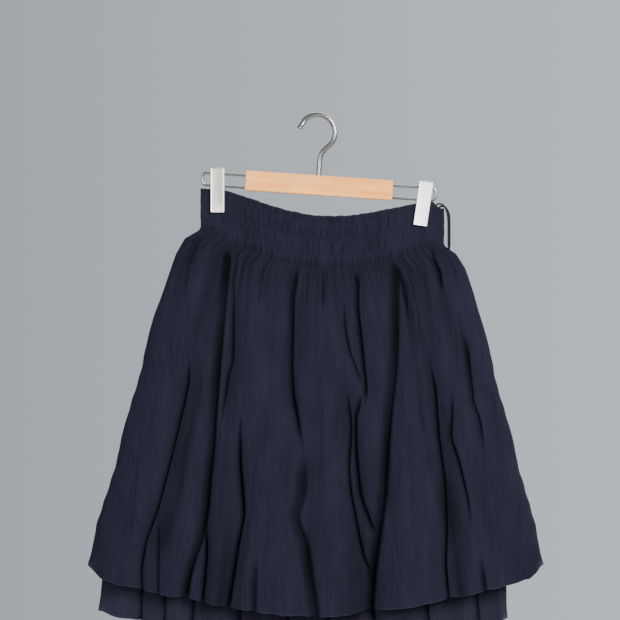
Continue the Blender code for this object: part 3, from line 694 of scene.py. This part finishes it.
OVER_BACK_SLITS = (
    Slit(((-118, -172), (-140, -300), (-165, -430), (-196, -660)), 24, 3, 12, 5, 30, 0),
    Slit(((-78, -190), (-84, -300), (-100, -430)), 12, 2.4, 9, 3, 30, 80),
    Slit(((-104, -330), (-116, -500), (-130, -690)), 20, 3, 11, -4, 80, 0),
    Slit(((-30, -205), (-44, -340), (-52, -480), (-58, -692)), 24, 3, 12, 5, 30, 0),
    Slit(((8, -208), (6, -270), (2, -340)), 9, 2, 7, 3, 20, 50),
    Slit(((18, -300), (8, -480), (26, -692)), 18, 2.6, 12, -5, 90, 0),
    Slit(((64, -203), (72, -360), (92, -560)), 20, 2.8, 11, 4, 30, 90),
    Slit(((128, -430), (136, -550), (120, -690)), 20, 2.8, 11, -4, 80, 0),
    Slit(((122, -190), (150, -320), (176, -450), (214, -660)), 24, 3, 12, -5, 30, 0),
    Slit(((-190, -300), (-208, -390), (-226, -490)), 10, 3, 10, 3, 60, 60),
    Slit(((-246, -520), (-256, -580), (-264, -650)), 11, 3, 9, 3, 50, 0),
    Slit(((238, -480), (252, -560), (262, -650)), 11, 3, 10, -3, 60, 0),
)
# A panel: the least depth that its slits leave at top and hem, its columns, and its fine creases
Panel = namedtuple(
    "Panel", "name node toward least_top least_hem columns slits creases seed gathers flat"
)
OVER_PANELS = (
    Panel("over_skirt_front", "outer_front", -1, 0.0182, 0.0282, 400,
          OVER_FRONT_SLITS, 60, 21, 30, 0.92),
    Panel("over_skirt_back", "outer_back", 1, 0.0162, 0.0222, 340,
          OVER_BACK_SLITS, 56, 22, 31, 0.92),
)


def slit_pull(x, z, slits):
    """How far the slits pull the cloth in and lean sideways, and the shade painted in them."""
    pull = np.zeros_like(x)
    lean = np.zeros_like(x)
    painted_shade = np.zeros_like(x)
    for slit in slits:
        path = np.array(slit.path)[::-1] / 1000
        depth, width, reach, slant, fade_in, fade_out = np.array(slit[1:]) / 1000
        fine = np.linspace(path[0, 1] - 0.03, path[-1, 1] + 0.03, 160)
        across = np.interp(fine, path[:, 1], path[:, 0])
        kernel = np.hanning(17)
        padded = np.pad(across, 8, mode="edge")
        across = np.convolve(padded, kernel / kernel.sum(), mode="valid")
        away = x - np.interp(z, fine, across)
        strength = ease((path[-1, 1] - z) / fade_in)
        if fade_out:
            strength = strength * ease((z - path[0, 1]) / fade_out)
        flank = np.exp(-(np.sqrt(away**2 + 0.001**2) - 0.001) / (0.7 * reach))
        broad = np.exp(-((away / (2.0 * reach)) ** 2))
        narrow = np.exp(-((np.abs(away) / width) ** 3))
        profile = strength * (0.5 * narrow + 0.3 * flank + 0.2 * broad)
        pull = pull + depth * profile
        lean = lean + abs(slant) * strength * (0.6 * narrow + 0.4 * flank)
        # Painted shade: dark down each slit, and over its flank on the side turned away from the
        # light.
        near = np.exp(-((np.abs(away) / (1.35 * width)) ** 3))
        shaded = away * math.copysign(1.0, slant) < 0.0
        shaded_flank = 0.55 * np.exp(-np.abs(away) / (0.45 * reach)) * shaded
        uneven = 0.9 + 0.1 * np.sin(37.0 * z + 90.0 * path[0, 0])
        dark = strength * np.maximum(near, shaded_flank) * uneven
        painted_shade = np.maximum(painted_shade, dark * min(1.0, 0.35 + depth / 0.028))
    return pull, lean, painted_shade


def fine_creases(u, v, half_width, count, seed):
    """Soft ridges and troughs of uneven length, depth and slant, run down the cloth."""
    rng = np.random.default_rng(seed)
    made = np.zeros_like(u)
    for _ in range(count):
        middle_u, middle_v = rng.uniform(-0.93, 0.93), rng.uniform(0.05, 1.05)
        half_length = rng.uniform(0.08, 0.3)
        drift = rng.normal(0.0, 0.05)
        width = rng.uniform(0.0035, 0.011)
        depth = rng.choice((-1.0, 1.0), p=(0.62, 0.38)) * rng.uniform(0.0007, 0.0026)
        along = np.clip(1.0 - ((v - middle_v) / half_length) ** 2, 0.0, 1.0) ** 1.5
        away = (u - middle_u - drift * (v - middle_v)) * half_width
        made += depth * along * np.exp(-((np.abs(away) / width) ** 1.6))
    return made


def broad_flutes(u, v, seed):
    """Slow waves across the panel that grow towards the hem."""
    rng = np.random.default_rng(seed)
    made = np.zeros_like(u)
    for waves in (3.0, 4.5, 6.0, 8.5, 12.0):
        phase, slant = rng.uniform(0.0, math.tau), rng.normal(0.0, 0.5)
        made += np.cos(math.pi * waves * u + phase + slant * v) / waves**0.5
    return 0.0016 * made * ease(v / 0.6)


def build_panel(layer, panel, finish):
    """A panel of a layer as a closed wall of cloth, with the grid of its outer face."""
    rings = layer.rings
    u1, bulge = across_ring(panel.columns, 0.25, 0.035, 2.5)
    v1 = np.concatenate(
        [np.linspace(0.0, 0.12, 22), np.linspace(0.128, 0.955, 72), np.linspace(0.962, 1.0, 14)]
    )
    v = np.broadcast_to(v1[:, None], (len(v1), len(u1)))
    u = np.broadcast_to(u1[None, :], v.shape)
    downs = [ring.down for ring in rings]
    left, right, front, back = (
        np.interp(v1, downs, [getattr(ring, side) for ring in rings])[:, None]
        for side in ("left", "right", "front", "back")
    )
    sway = 0.0012 * np.sin(23.0 * v1 + 0.8) * ease(v1 / 0.2)
    small = np.sin(67.0 * v1 + 2.0) * np.sin(19.0 * v1 + 0.4) + 0.5 * np.sin(103.0 * v1)
    sway = (sway + 0.0006 * small * ease((v1 - 0.2) / 0.3))[:, None]
    depth = front if panel.toward < 0 else back
    half_width = (right - left) / 2
    x = (left + right) / 2 + (half_width + sway) * u
    first = rings[0]
    top_half_width = (first.right - first.left) / 2
    top_x = (first.left + first.right) / 2 + top_half_width * u1
    top = band_bottom(np.clip((top_x - BAND_CENTRE) / BAND_HALF_WIDTH, -1, 1)) + SEAM_TUCK
    hem = layer.hem_middle + layer.hem_lift * np.abs(u1) ** 1.6
    hem = hem + layer.hem_corner * ease((np.abs(u1) - 0.93) / 0.07)
    hem = hem - layer.hem_right * ease((u1 - 0.3) / 0.7)
    z = top + (hem - top) * v
    least = panel.least_top + (panel.least_hem - panel.least_top) * v
    most = np.maximum(depth - least, 0.0002)
    inside = 1.0 - ease((np.abs(u) - 0.9) / 0.1)
    pull, lean, painted_shade = slit_pull(x, z, panel.slits)
    pulled = most * np.tanh(pull / most) * inside
    relief = fine_creases(u, v, half_width, panel.creases, panel.seed)
    relief = relief * ease(v / 0.1) + broad_flutes(u, v, panel.seed + 5)
    seam = seam_gathers(u, v, half_width, panel.gathers) * (0.3 + 0.7 * ease(v / 0.035))
    relief = (relief + seam) * inside
    surface = depth + relief - pulled
    if layer.inward:
        falls_in = layer.inward * ease(v / 0.03) * (1.0 - ease((v - 0.2) / 0.2))
        surface = depth + np.minimum(relief, UNDER_RELIEF) - pulled - falls_in
    else:
        surface = np.maximum(surface, least - SLIT_FLOOR - 0.02 * ease((v - 0.18) / 0.15))
    grid = np.zeros((*v.shape, 3))
    grid[:, :, 0] = x + lean * inside * ease(v / 0.05)
    grid[:, :, 1] = panel.toward * (SIDE_SEAM + surface * bulge)
    rng = np.random.default_rng(panel.seed + 3)
    ripple = np.convolve(rng.normal(0.0, 1.0, len(u1) + 14), np.hanning(15) / 4.0, mode="valid")
    grid[:, :, 2] = z + HEM_DRAW * pulled * v**3 + 0.001 * ripple * v**8
    normals = grid_normals(grid, panel.toward)
    above_hem = (1.0 - v) * (top - hem)
    turned = 1.0 - ease((above_hem - HEM_TURN + 0.0006) / 0.0012)
    groove = np.exp(-(((above_hem - HEM_TURN + 0.001) / 0.0012) ** 2))
    thickness = GAUZE_THICKNESS + 0.0006 * turned - 0.0004 * groove
    outer = grid + normals * (thickness / 2)[:, :, None]
    inner = grid - normals * (thickness / 2)[:, :, None]
    for face in (outer, inner):
        face[:, [0, -1], 1] = panel.toward * SIDE_SEAM
        face[:, [0, -1], 0] = grid[:, [0, -1], 0]
    outer[:, [0, -1], 1] = panel.toward * 0.0001
    run = u1 * panel.flat / 2
    flat = np.stack(np.broadcast_arrays(run[None, :] * (0.72 + 0.28 * v), z), axis=-1)
    obj = cloth_wall(panel.name, outer, inner, panel.toward, finish, flat)
    # Painted glints at the hem's corners, and paler wear along the hem's edge.
    corner = ease((np.abs(u) - 0.965) / 0.03) * ease((v - 0.98) / 0.014)
    wear_and_glint = np.clip(0.3 * turned * (above_hem < 0.0012) + 0.45 * corner, 0.0, 1.0)
    # Painted shade: darker under the waistband, in the hollows of the creases and gathers, and in
    # the slits.
    shade_under_band = 0.22 * (1.0 - ease(v / 0.16))
    troughs = -0.15 * np.minimum(relief / 0.001, 0.0)
    shade = np.clip(0.92 * painted_shade * inside + troughs + shade_under_band, 0.0, 0.95)
    mark(obj, "wear_and_glint", wear_and_glint)
    mark(obj, "painted_shade", shade)
    settle(obj, panel.node)
    return obj, outer, normals, above_hem


over_pieces = [build_panel(OVER_LAYER, panel, gauze) for panel in OVER_PANELS]


# The under-skirt: the same gauze cut narrower and longer, so that its hem shows below the
# over-skirt. It is gathered under it onto the same seam, and falls straighter. Its finish is
# painted paler: painted light, for the light its single layer catches below the over-skirt.
UNDER_RINGS = (
    Ring(0.0, -0.1606, 0.1724, 0.016, 0.014),
    Ring(0.012, -0.1616, 0.1734, 0.016, 0.014),
    Ring(0.06, -0.183, 0.186, 0.0165, 0.0143),
    Ring(0.2, -0.206, 0.207, 0.0177, 0.015),
    Ring(0.4, -0.234, 0.23, 0.0199, 0.016),
    Ring(0.6, -0.263, 0.247, 0.0217, 0.017),
    Ring(0.8, -0.292, 0.259, 0.0234, 0.018),
    Ring(1.0, -0.307, 0.265, 0.025, 0.019),
)
UNDER_LAYER = Layer(UNDER_RINGS, -0.728, 0.038, 0.003, 0.011, 0.0034)
UNDER_FRONT_SLITS = (
    Slit(((-226, -560), (-247, -664), (-250, -710)), 14, 2, 9, 4, 60, 0),
    Slit(((-208, -600), (-214, -665), (-217, -715)), 12, 2, 8, 3, 50, 0),
    Slit(((-150, -480), (-164, -600), (-180, -720)), 12, 2.4, 10, 3, 80, 0),
    Slit(((-88, -350), (-100, -540), (-113, -730)), 14, 2.6, 12, 3, 100, 0),
    Slit(((-40, -520), (-44, -735)), 12, 2.4, 10, 3, 80, 0),
    Slit(((10, -300), (14, -520), (11, -735)), 13, 2.6, 13, -3, 100, 0),
    Slit(((64, -500), (70, -610), (78, -735)), 11, 2.4, 10, 3, 80, 0),
    Slit(((110, -330), (132, -520), (153, -725)), 15, 2.4, 11, 4, 100, 0),
    Slit(((206, -540), (215, -620), (222, -712)), 11, 2.2, 9, 3, 80, 0),
    Slit(((242, -600), (248, -660), (251, -706)), 8, 2, 7, 2, 50, 0),
)
UNDER_BACK_SLITS = (
    Slit(((-190, -420), (-214, -560), (-232, -710)), 10, 2.4, 10, 3, 80, 0),
    Slit(((-120, -300), (-140, -500), (-156, -724)), 10, 2.6, 12, 3, 100, 0),
    Slit(((-60, -380), (-72, -550), (-80, -732)), 10, 2.6, 12, -3, 100, 0),
    Slit(((6, -260), (0, -500), (-8, -735)), 10, 2.6, 13, 3, 100, 0),
    Slit(((66, -340), (78, -530), (84, -732)), 10, 2.6, 12, 3, 100, 0),
    Slit(((120, -300), (146, -500), (164, -720)), 10, 2.6, 12, -3, 100, 0),
    Slit(((200, -460), (216, -580), (226, -706)), 8, 2.4, 10, 3, 80, 0),
)
UNDER_PANELS = (
    Panel("under_skirt_front", "under_front", -1, 0.009, 0.013, 300,
          UNDER_FRONT_SLITS, 34, 31, 32, 0.8),
    Panel("under_skirt_back", "under_back", 1, 0.0075, 0.01, 260,
          UNDER_BACK_SLITS, 30, 32, 33, 0.8),
)
# The same gauze painted paler, as painted light.
lit_under_gauze = gauze_finish("navy_gauze_painted_paler", (0.008, 0.0082, 0.0162), (0.02, 0.0198, 0.0335))
under_pieces = [build_panel(UNDER_LAYER, panel, lit_under_gauze) for panel in UNDER_PANELS]


# The sewing: navy thread in even machine stitches along both edges of the casings and round
# the two hems. A stitch dips into the cloth at its two ends.
STITCH_PITCH = 0.0026
STITCH_LENGTH = 0.002
THREAD_RADIUS = 0.00017

thread_finish, thread_tree, thread_shader = new_finish("navy_thread", 0.8)
thread_shader.inputs["Specular IOR Level"].default_value = 0.15
thread_place = add_node(thread_tree, "ShaderNodeTexCoord").outputs["Object"]
thread_tone = stretched_noise(thread_tree, thread_place, (1500.0, 1500.0, 1500.0), 2.0)
feed(
    thread_shader,
    "Base Color",
    blend_colours(thread_tree, thread_tone, (0.007, 0.0072, 0.0145), (0.015, 0.0152, 0.027)),
)
feed(thread_shader, "Normal", bump(thread_tree, thread_tone, 0.00008, 0.7))


def stitch_tree():
    """Lays a row of stitches along an edge: a rounded stitch at each pitch, turned along it."""
    tree = bpy.data.node_groups.new("row_of_stitches", "GeometryNodeTree")
    face = tree.interface
    face.new_socket("Geometry", in_out="INPUT", socket_type="NodeSocketGeometry")
    for name in ("Pitch", "Length", "Thread"):
        face.new_socket(name, in_out="INPUT", socket_type="NodeSocketFloat")
    face.new_socket("Seed", in_out="INPUT", socket_type="NodeSocketInt")
    face.new_socket("Finish", in_out="INPUT", socket_type="NodeSocketMaterial")
    face.new_socket("Geometry", in_out="OUTPUT", socket_type="NodeSocketGeometry")
    given = tree.nodes.new("NodeGroupInput").outputs
    line = add_node(tree, "GeometryNodeMeshToCurve", {"Mesh": given["Geometry"]})
    even = add_node(
        tree,
        "GeometryNodeResampleCurve",
        {"Curve": line.outputs["Curve"], "Length": given["Pitch"]},
        mode="LENGTH",
    )
    bead = add_node(tree, "GeometryNodeMeshUVSphere", {"Segments": 6, "Rings": 4, "Radius": 0.5})
    size = add_node(
        tree,
        "ShaderNodeCombineXYZ",
        {"X": given["Thread"], "Y": given["Thread"], "Z": given["Length"]},
    )
    stitch = add_node(
        tree,
        "GeometryNodeTransform",
        {"Geometry": bead.outputs["Mesh"], "Scale": size.outputs["Vector"]},
    )
    tangent = add_node(tree, "GeometryNodeInputTangent")
    turned = add_node(
        tree,
        "FunctionNodeAlignRotationToVector",
        {"Vector": tangent.outputs["Tangent"]},
        axis="Z",
    )
    sizes = {2: 0.88, 3: 1.08, "Seed": given["Seed"]}
    uneven = add_node(tree, "FunctionNodeRandomValue", sizes, data_type="FLOAT")
    placed = add_node(
        tree,
        "GeometryNodeInstanceOnPoints",
        {
            "Points": even.outputs["Curve"],
            "Instance": stitch.outputs["Geometry"],
            "Rotation": turned.outputs["Rotation"],
            "Scale": uneven.outputs[1],
        },
    )
    solid = add_node(
        tree, "GeometryNodeRealizeInstances", {"Geometry": placed.outputs["Instances"]}
    )
    smooth = add_node(tree, "GeometryNodeSetShadeSmooth", {"Geometry": solid.outputs["Geometry"]})
    finished = add_node(
        tree,
        "GeometryNodeSetMaterial",
        {"Geometry": smooth.outputs["Geometry"], "Material": given["Finish"]},
    )
    out = tree.nodes.new("NodeGroupOutput")
    tree.links.new(finished.outputs["Geometry"], out.inputs[0])
    return tree


stitching = stitch_tree()


def sew(name, lines, seed):
    """Stitches along lines of points, as a plain mesh that rides with the skirt."""
    points, edges = [], []
    for line in lines:
        start = len(points)
        points.extend(tuple(map(float, p)) for p in line)
        edges.extend((start + k, start + k + 1) for k in range(len(line) - 1))
    mesh = bpy.data.meshes.new(name + "_line")
    mesh.from_pydata(points, edges, [])
    obj = bpy.data.objects.new(name, mesh)
    bpy.context.scene.collection.objects.link(obj)
    rows = obj.modifiers.new("stitches", "NODES")
    rows.node_group = stitching
    wanted = {
        "Pitch": STITCH_PITCH,
        "Length": STITCH_LENGTH,
        "Thread": 2 * THREAD_RADIUS,
        "Seed": seed,
        "Finish": thread_finish,
    }
    for item in stitching.interface.items_tree:
        if item.in_out == "INPUT" and item.name in wanted:
            rows[item.identifier] = wanted[item.name]
    bpy.context.view_layer.update()
    evaluated = obj.evaluated_get(bpy.context.evaluated_depsgraph_get())
    made = bpy.data.meshes.new_from_object(evaluated)
    made.name = name
    obj.modifiers.remove(rows)
    obj.data = made
    settle(obj)
    return obj


casing_lines = []
for obj, outer, normals, down in band_pieces:
    for edge in CHANNEL_EDGES[1:4]:
        row = int(np.argmin(np.abs(down - edge)))
        casing_lines.append((outer[row] + normals[row] * THREAD_RADIUS * 0.5)[6:-6:2])
sew("casing_stitches", casing_lines, 1)


def hem_line(piece):
    """The line of a hem's stitches, just above the edge of its turning."""
    obj, outer, normals, above_hem = piece
    rows = np.argmin(np.abs(above_hem - HEM_TURN + 0.001), axis=0)
    columns = np.arange(outer.shape[1])
    return (outer[rows, columns] + normals[rows, columns] * THREAD_RADIUS * 0.6)[4:-4]


# The cut of what shows of each panel: its width along the hem, its length and its flat area. It
# tapers to the waistband, into which it is gathered.
Cut = namedtuple("Cut", "band width length area seed")
PANEL_CUTS = (
    Cut("waistband_front", 0.826, 0.517, 0.307, 2),
    Cut("waistband_back", 0.763, 0.516, 0.288, 3),
    Cut("waistband_front", 0.635, 0.56, 0.273, 4),
    Cut("waistband_back", 0.605, 0.561, 0.269, 5),
)
for piece, cut in zip(over_pieces + under_pieces, PANEL_CUTS):
    hem_stitches = sew(piece[0].name + "_hem_stitches", [hem_line(piece)], cut.seed)


# The hanger's bar: a bar of pale beech with eased edges, drilled at both ends for the wires and
# on top for the hook, sanded and varnished. The grain runs along it.
HANGER_CENTRE = Vector((0.0014, 0.0, -0.0952))
HANGER_TILT = math.radians(3.9)
BAR_LENGTH = 0.206
BAR_HEIGHT = 0.028
hanger_frame = Matrix.Translation(HANGER_CENTRE) @ Matrix.Rotation(HANGER_TILT, 4, "Y")

beech, beech_tree, beech_shader = new_finish("pale_beech", 0.42)
beech_shader.inputs["Specular IOR Level"].default_value = 0.3
beech_shader.inputs["Coat Weight"].default_value = 0.04
beech_shader.inputs["Coat Roughness"].default_value = 0.35
beech_place = add_node(
    beech_tree,
    "ShaderNodeMapping",
    {
        "Vector": add_node(beech_tree, "ShaderNodeTexCoord").outputs["Object"],
        "Rotation": (0.0, -HANGER_TILT, 0.0),
    },
).outputs["Vector"]
rings = stretched_noise(beech_tree, beech_place, (6.0, 70.0, 120.0), 3.0, 0.55, 0.6)
flecks = stretched_noise(beech_tree, beech_place, (130.0, 900.0, 1500.0), 2.0, 0.6)
figure = stretched_noise(beech_tree, beech_place, (14.0, 30.0, 40.0), 2.0)
beech_colour = blend_colours(
    beech_tree, ramp(beech_tree, rings, 0.32, 0.68), (0.9, 0.305, 0.05), (1.0, 0.485, 0.118)
)
beech_colour = blend_colours(
    beech_tree, ramp(beech_tree, flecks, 0.58, 0.72, 0.0, 0.75), beech_colour, (0.64, 0.225, 0.052)
)
beech_colour = blend_colours(
    beech_tree, ramp(beech_tree, figure, 0.4, 0.7, 0.0, 0.6), beech_colour, (1.0, 0.52, 0.16)
)
feed(beech_shader, "Base Color", beech_colour)
feed(beech_shader, "Roughness", ramp(beech_tree, flecks, 0.3, 0.8, 0.36, 0.55))
beech_normal = bump(beech_tree, flecks, 0.00012, 0.5)
feed(beech_shader, "Normal", bump(beech_tree, rings, 0.0002, 0.3, beech_normal))
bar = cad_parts["bar"]
bar.data.materials.clear()
bar.data.materials.append(beech)


# The hook and the two wire loops: round steel wire, bent and nickel plated. The hook is driven
# into the top of the bar and ends in a small flat button; the loops are pressed into its ends.
HOOK_RADIUS = 0.0036
HOOK_BEND = 0.0249
HOOK_CENTRE = (-0.001, -0.0213)
HOOK_TIP_ANGLE = math.radians(165)
HOOK_START = math.radians(-28)
HOOK_INSERT = 0.014
HOOK_FOOT = -0.0015
HOOK_KEPT = 91
BUTTON_RADIUS = 0.0045
BUTTON_BACK = 0.0014
BUTTON_RINGS = (
    (-0.0004, HOOK_RADIUS),
    (0.0, BUTTON_RADIUS - 0.0006),
    (0.0004, BUTTON_RADIUS),
    (0.0016, BUTTON_RADIUS),
    (0.0021, BUTTON_RADIUS - 0.0004),
    (0.0023, BUTTON_RADIUS - 0.0012),
)
WIRE_RADIUS = 0.0019
WIRE_LEVELS = (0.007, -0.01)
WIRE_REACH = 0.165
WIRE_CORNER = 0.0062
WIRE_INSERT = 0.03

nickel, nickel_tree, nickel_shader = new_finish("nickel_plate", 0.2, 1.0)
nickel_place = add_node(nickel_tree, "ShaderNodeTexCoord").outputs["Object"]
nickel_wear = stretched_noise(nickel_tree, nickel_place, (70.0, 70.0, 70.0), 2.0)
nickel_lines = stretched_noise(nickel_tree, nickel_place, (900.0, 900.0, 2200.0), 2.0)
feed(
    nickel_shader,
    "Base Color",
    blend_colours(nickel_tree, nickel_wear, (0.27, 0.264, 0.252), (0.31, 0.303, 0.29)),
)
feed(nickel_shader, "Roughness", ramp(nickel_tree, nickel_wear, 0.3, 0.7, 0.19, 0.25))
feed(nickel_shader, "Normal", bump(nickel_tree, nickel_lines, 0.00001, 0.25))


def hook_route():
    """The hook's centre line: up out of the bar, out to the right, and round over the crest."""
    foot = hanger_frame @ Vector((HOOK_FOOT, 0.0, BAR_HEIGHT / 2 - HOOK_INSERT))
    neck = hanger_frame @ Vector((HOOK_FOOT, 0.0, BAR_HEIGHT / 2 + 0.018))
    x, z = HOOK_CENTRE
    start = Vector(
        (x + HOOK_BEND * math.cos(HOOK_START), 0.0, z + HOOK_BEND * math.sin(HOOK_START))
    )
    pull_up = (neck - foot).normalized() * 0.02
    pull_back = Vector((math.sin(HOOK_START), 0.0, -math.cos(HOOK_START))) * 0.012
    points = [foot.lerp(neck, k / 10) for k in range(11)]
    for step in range(1, 30):
        t = step / 30
        a, b, c, d = (1 - t) ** 3, 3 * t * (1 - t) ** 2, 3 * t * t * (1 - t), t**3
        points.append(a * neck + b * (neck + pull_up) + c * (start + pull_back) + d * start)
    for step in range(61):
        angle = HOOK_START + (HOOK_TIP_ANGLE - HOOK_START) * step / 60
        points.append(
            Vector((x + HOOK_BEND * math.cos(angle), 0.0, z + HOOK_BEND * math.sin(angle)))
        )
    return points


hook_points = hook_route()
hook_radii = [HOOK_RADIUS] * len(hook_points)
hook_end = hook_points[-1]
hook_way = (hook_points[-1] - hook_points[-2]).normalized()
# The wire's last stretch runs straight into the button, whose rings go on from it
del hook_points[HOOK_KEPT:], hook_radii[HOOK_KEPT:]
for height, radius in BUTTON_RINGS:
    hook_points.append(hook_end + hook_way * (height - BUTTON_BACK))
    hook_radii.append(radius)
hook_wire = round_rod("hook_wire", hook_points, hook_radii, 24, nickel)
settle(hook_wire, "hook")


def wire_loop(name, node, sign):
    """A loop of wire out of one end of the bar, squared at its far end."""
    upper, lower = WIRE_LEVELS
    start = BAR_LENGTH / 2 - WIRE_INSERT
    far = WIRE_REACH - WIRE_RADIUS
    bend = WIRE_CORNER
    path = [(start + (far - bend - start) * k / 24, upper) for k in range(25)]
    for step in range(1, 11):
        angle = math.pi / 2 * (1 - step / 10)
        path.append((far - bend + bend * math.cos(angle), upper - bend + bend * math.sin(angle)))
    path.append((far, (upper + lower) / 2))
    for step in range(11):
        angle = -math.pi / 2 * step / 10
        path.append((far - bend + bend * math.cos(angle), lower + bend + bend * math.sin(angle)))
    path += [(far - bend - (far - bend - start) * k / 24, lower) for k in range(1, 25)]
    points = [hanger_frame @ Vector((sign * x, 0.0, z)) for x, z in path]
    loop = round_rod(name, points, WIRE_RADIUS, 16, nickel)
    settle(loop, node)


wire_loop("left_wire_loop", "wire_left", -1)
wire_loop("right_wire_loop", "wire_right", 1)


# The two clips: a front and a back cover pressed from thin steel with a raised rim, satin nickel
# plated, which pinch the waistband between rubber pads. A die-cast block between the covers
# rides on the two wires.
CLIP_WIDTH = 0.019
CLIP_DEPTH = 0.005
CLIP_HEIGHT = 0.062
CLIP_WALL = 0.0012
CLIP_FRONT = 0.0092
CLIP_RIM = 0.0009
CLIP_CORNER = 0.0012
Clip = namedtuple("Clip", "name foot tilt")
CLIPS = (
    Clip("left", (-0.14, 0.0, -0.133), 0.0),
    Clip("right", (0.1421, 0.0, -0.1512), math.radians(8.4)),
)


def satin_finish(name, low, high, roughness):
    """Satin nickel: faint lines of brushing down the plate and a little wear."""
    finish, tree, shader = new_finish(name, roughness, 1.0)
    place = add_node(tree, "ShaderNodeTexCoord").outputs["Object"]
    brushed = stretched_noise(tree, place, (2600.0, 2600.0, 60.0), 2.0)
    wear = stretched_noise(tree, place, (70.0, 70.0, 45.0), 3.0)
    feed(shader, "Base Color", blend_colours(tree, wear, low, high))
    feed(shader, "Roughness", ramp(tree, wear, 0.3, 0.7, roughness - 0.06, roughness + 0.06))
    feed(shader, "Normal", bump(tree, brushed, 0.00004, 0.5))
    return finish


# The right clip's copy of the satin nickel is painted whiter than the left's, as a painted
# highlight.
satin = {
    "left": satin_finish("satin_nickel", (0.86, 0.79, 0.69), (0.96, 0.89, 0.8), 0.36),
    "right": satin_finish("satin_nickel_painted_lit", (0.96, 0.96, 0.95), (1.0, 1.0, 1.0), 0.5),
}
zinc = satin_finish("zinc_block", (0.22, 0.22, 0.19), (0.34, 0.34, 0.3), 0.45)


def clip_cover(clip, face, toward):
    """A pressed cover: rounded corners, a raised rim, and walls turned back at its edges."""
    rows = []
    across, up = CLIP_WIDTH / 2, CLIP_HEIGHT / 2
    steps = (
        (0.0, CLIP_FRONT - CLIP_DEPTH),
        (0.0, CLIP_FRONT - 0.0006),
        (0.00018, CLIP_FRONT - 0.0002),
        (0.0005, CLIP_FRONT),
        (CLIP_RIM, CLIP_FRONT),
        (CLIP_RIM + 0.0004, CLIP_FRONT - 0.00022),
        (CLIP_RIM + 0.001, CLIP_FRONT - 0.00028),
    )
    inside = (
        (CLIP_WALL, CLIP_FRONT - CLIP_DEPTH),
        (CLIP_WALL, CLIP_FRONT - CLIP_WALL - 0.0004),
        (CLIP_WALL + 0.0004, CLIP_FRONT - CLIP_WALL),
    )

    def outline(inset):
        radius = max(CLIP_CORNER - inset, 0.0002)
        made = []
        for sx, sz, begin in ((1, 1, 0), (-1, 1, 90), (-1, -1, 180), (1, -1, 270)):
            for k in range(7):
                angle = math.radians(begin + 15 * k)
                made.append(
                    (
                        sx * (across - inset - radius) + radius * math.cos(angle),
                        sz * (up - inset - radius) + radius * math.sin(angle),
                    )
                )
        return made

    for inset, depth in reversed(inside):
        rows.append([(x, depth, z) for x, z in outline(inset)])
    for inset, depth in steps:
        rows.append([(x, depth, z) for x, z in outline(inset)])
    count = len(rows[0])
    points = [p for row in rows for p in row]
    faces = []
    for row in range(len(rows) - 1):
        for k in range(count):
            a, b = row * count + k, row * count + (k + 1) % count
            faces.append((a, b, b + count, a + count))
    last = (len(rows) - 1) * count
    faces.append(tuple(range(last, last + count)))
    faces.append(tuple(reversed(range(count))))
    place = Matrix.Translation(clip.foot) @ Matrix.Rotation(clip.tilt, 4, "Y")
    place = place @ Matrix.Translation((0.0, 0.0, up))
    points = [place @ Vector((x, toward * y, z)) for x, y, z in points]
    obj = show(f"{clip.name}_cover_{face}", points, faces, satin[clip.name], smooth=False)
    cover = bmesh.new()
    cover.from_mesh(obj.data)
    bmesh.ops.recalc_face_normals(cover, faces=cover.faces)
    cover.to_mesh(obj.data)
    cover.free()
    obj.data.polygons.foreach_set("use_smooth", [True] * len(obj.data.polygons))
    obj.data.set_sharp_from_angle(angle=math.radians(28))
    settle(obj, f"clip_{clip.name}_{face}")


for clip in CLIPS:
    clip_cover(clip, "front", -1)
    clip_cover(clip, "back", 1)
    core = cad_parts[f"core_{clip.name}"]
    core.data.materials.clear()
    core.data.materials.append(zinc)

rubber, rubber_tree, rubber_shader = new_finish("grey_rubber", 0.8)
rubber_place = add_node(rubber_tree, "ShaderNodeTexCoord").outputs["Object"]
rubber_grain = stretched_noise(rubber_tree, rubber_place, (900.0, 900.0, 900.0), 3.0)
feed(
    rubber_shader,
    "Base Color",
    blend_colours(rubber_tree, rubber_grain, (0.16, 0.16, 0.16), (0.27, 0.27, 0.26)),
)
feed(rubber_shader, "Normal", bump(rubber_tree, rubber_grain, 0.0001, 0.6))
for clip in CLIPS:
    for face in ("front", "back"):
        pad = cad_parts[f"pad_{clip.name}_{face}"]
        pad.data.materials.clear()
        pad.data.materials.append(rubber)
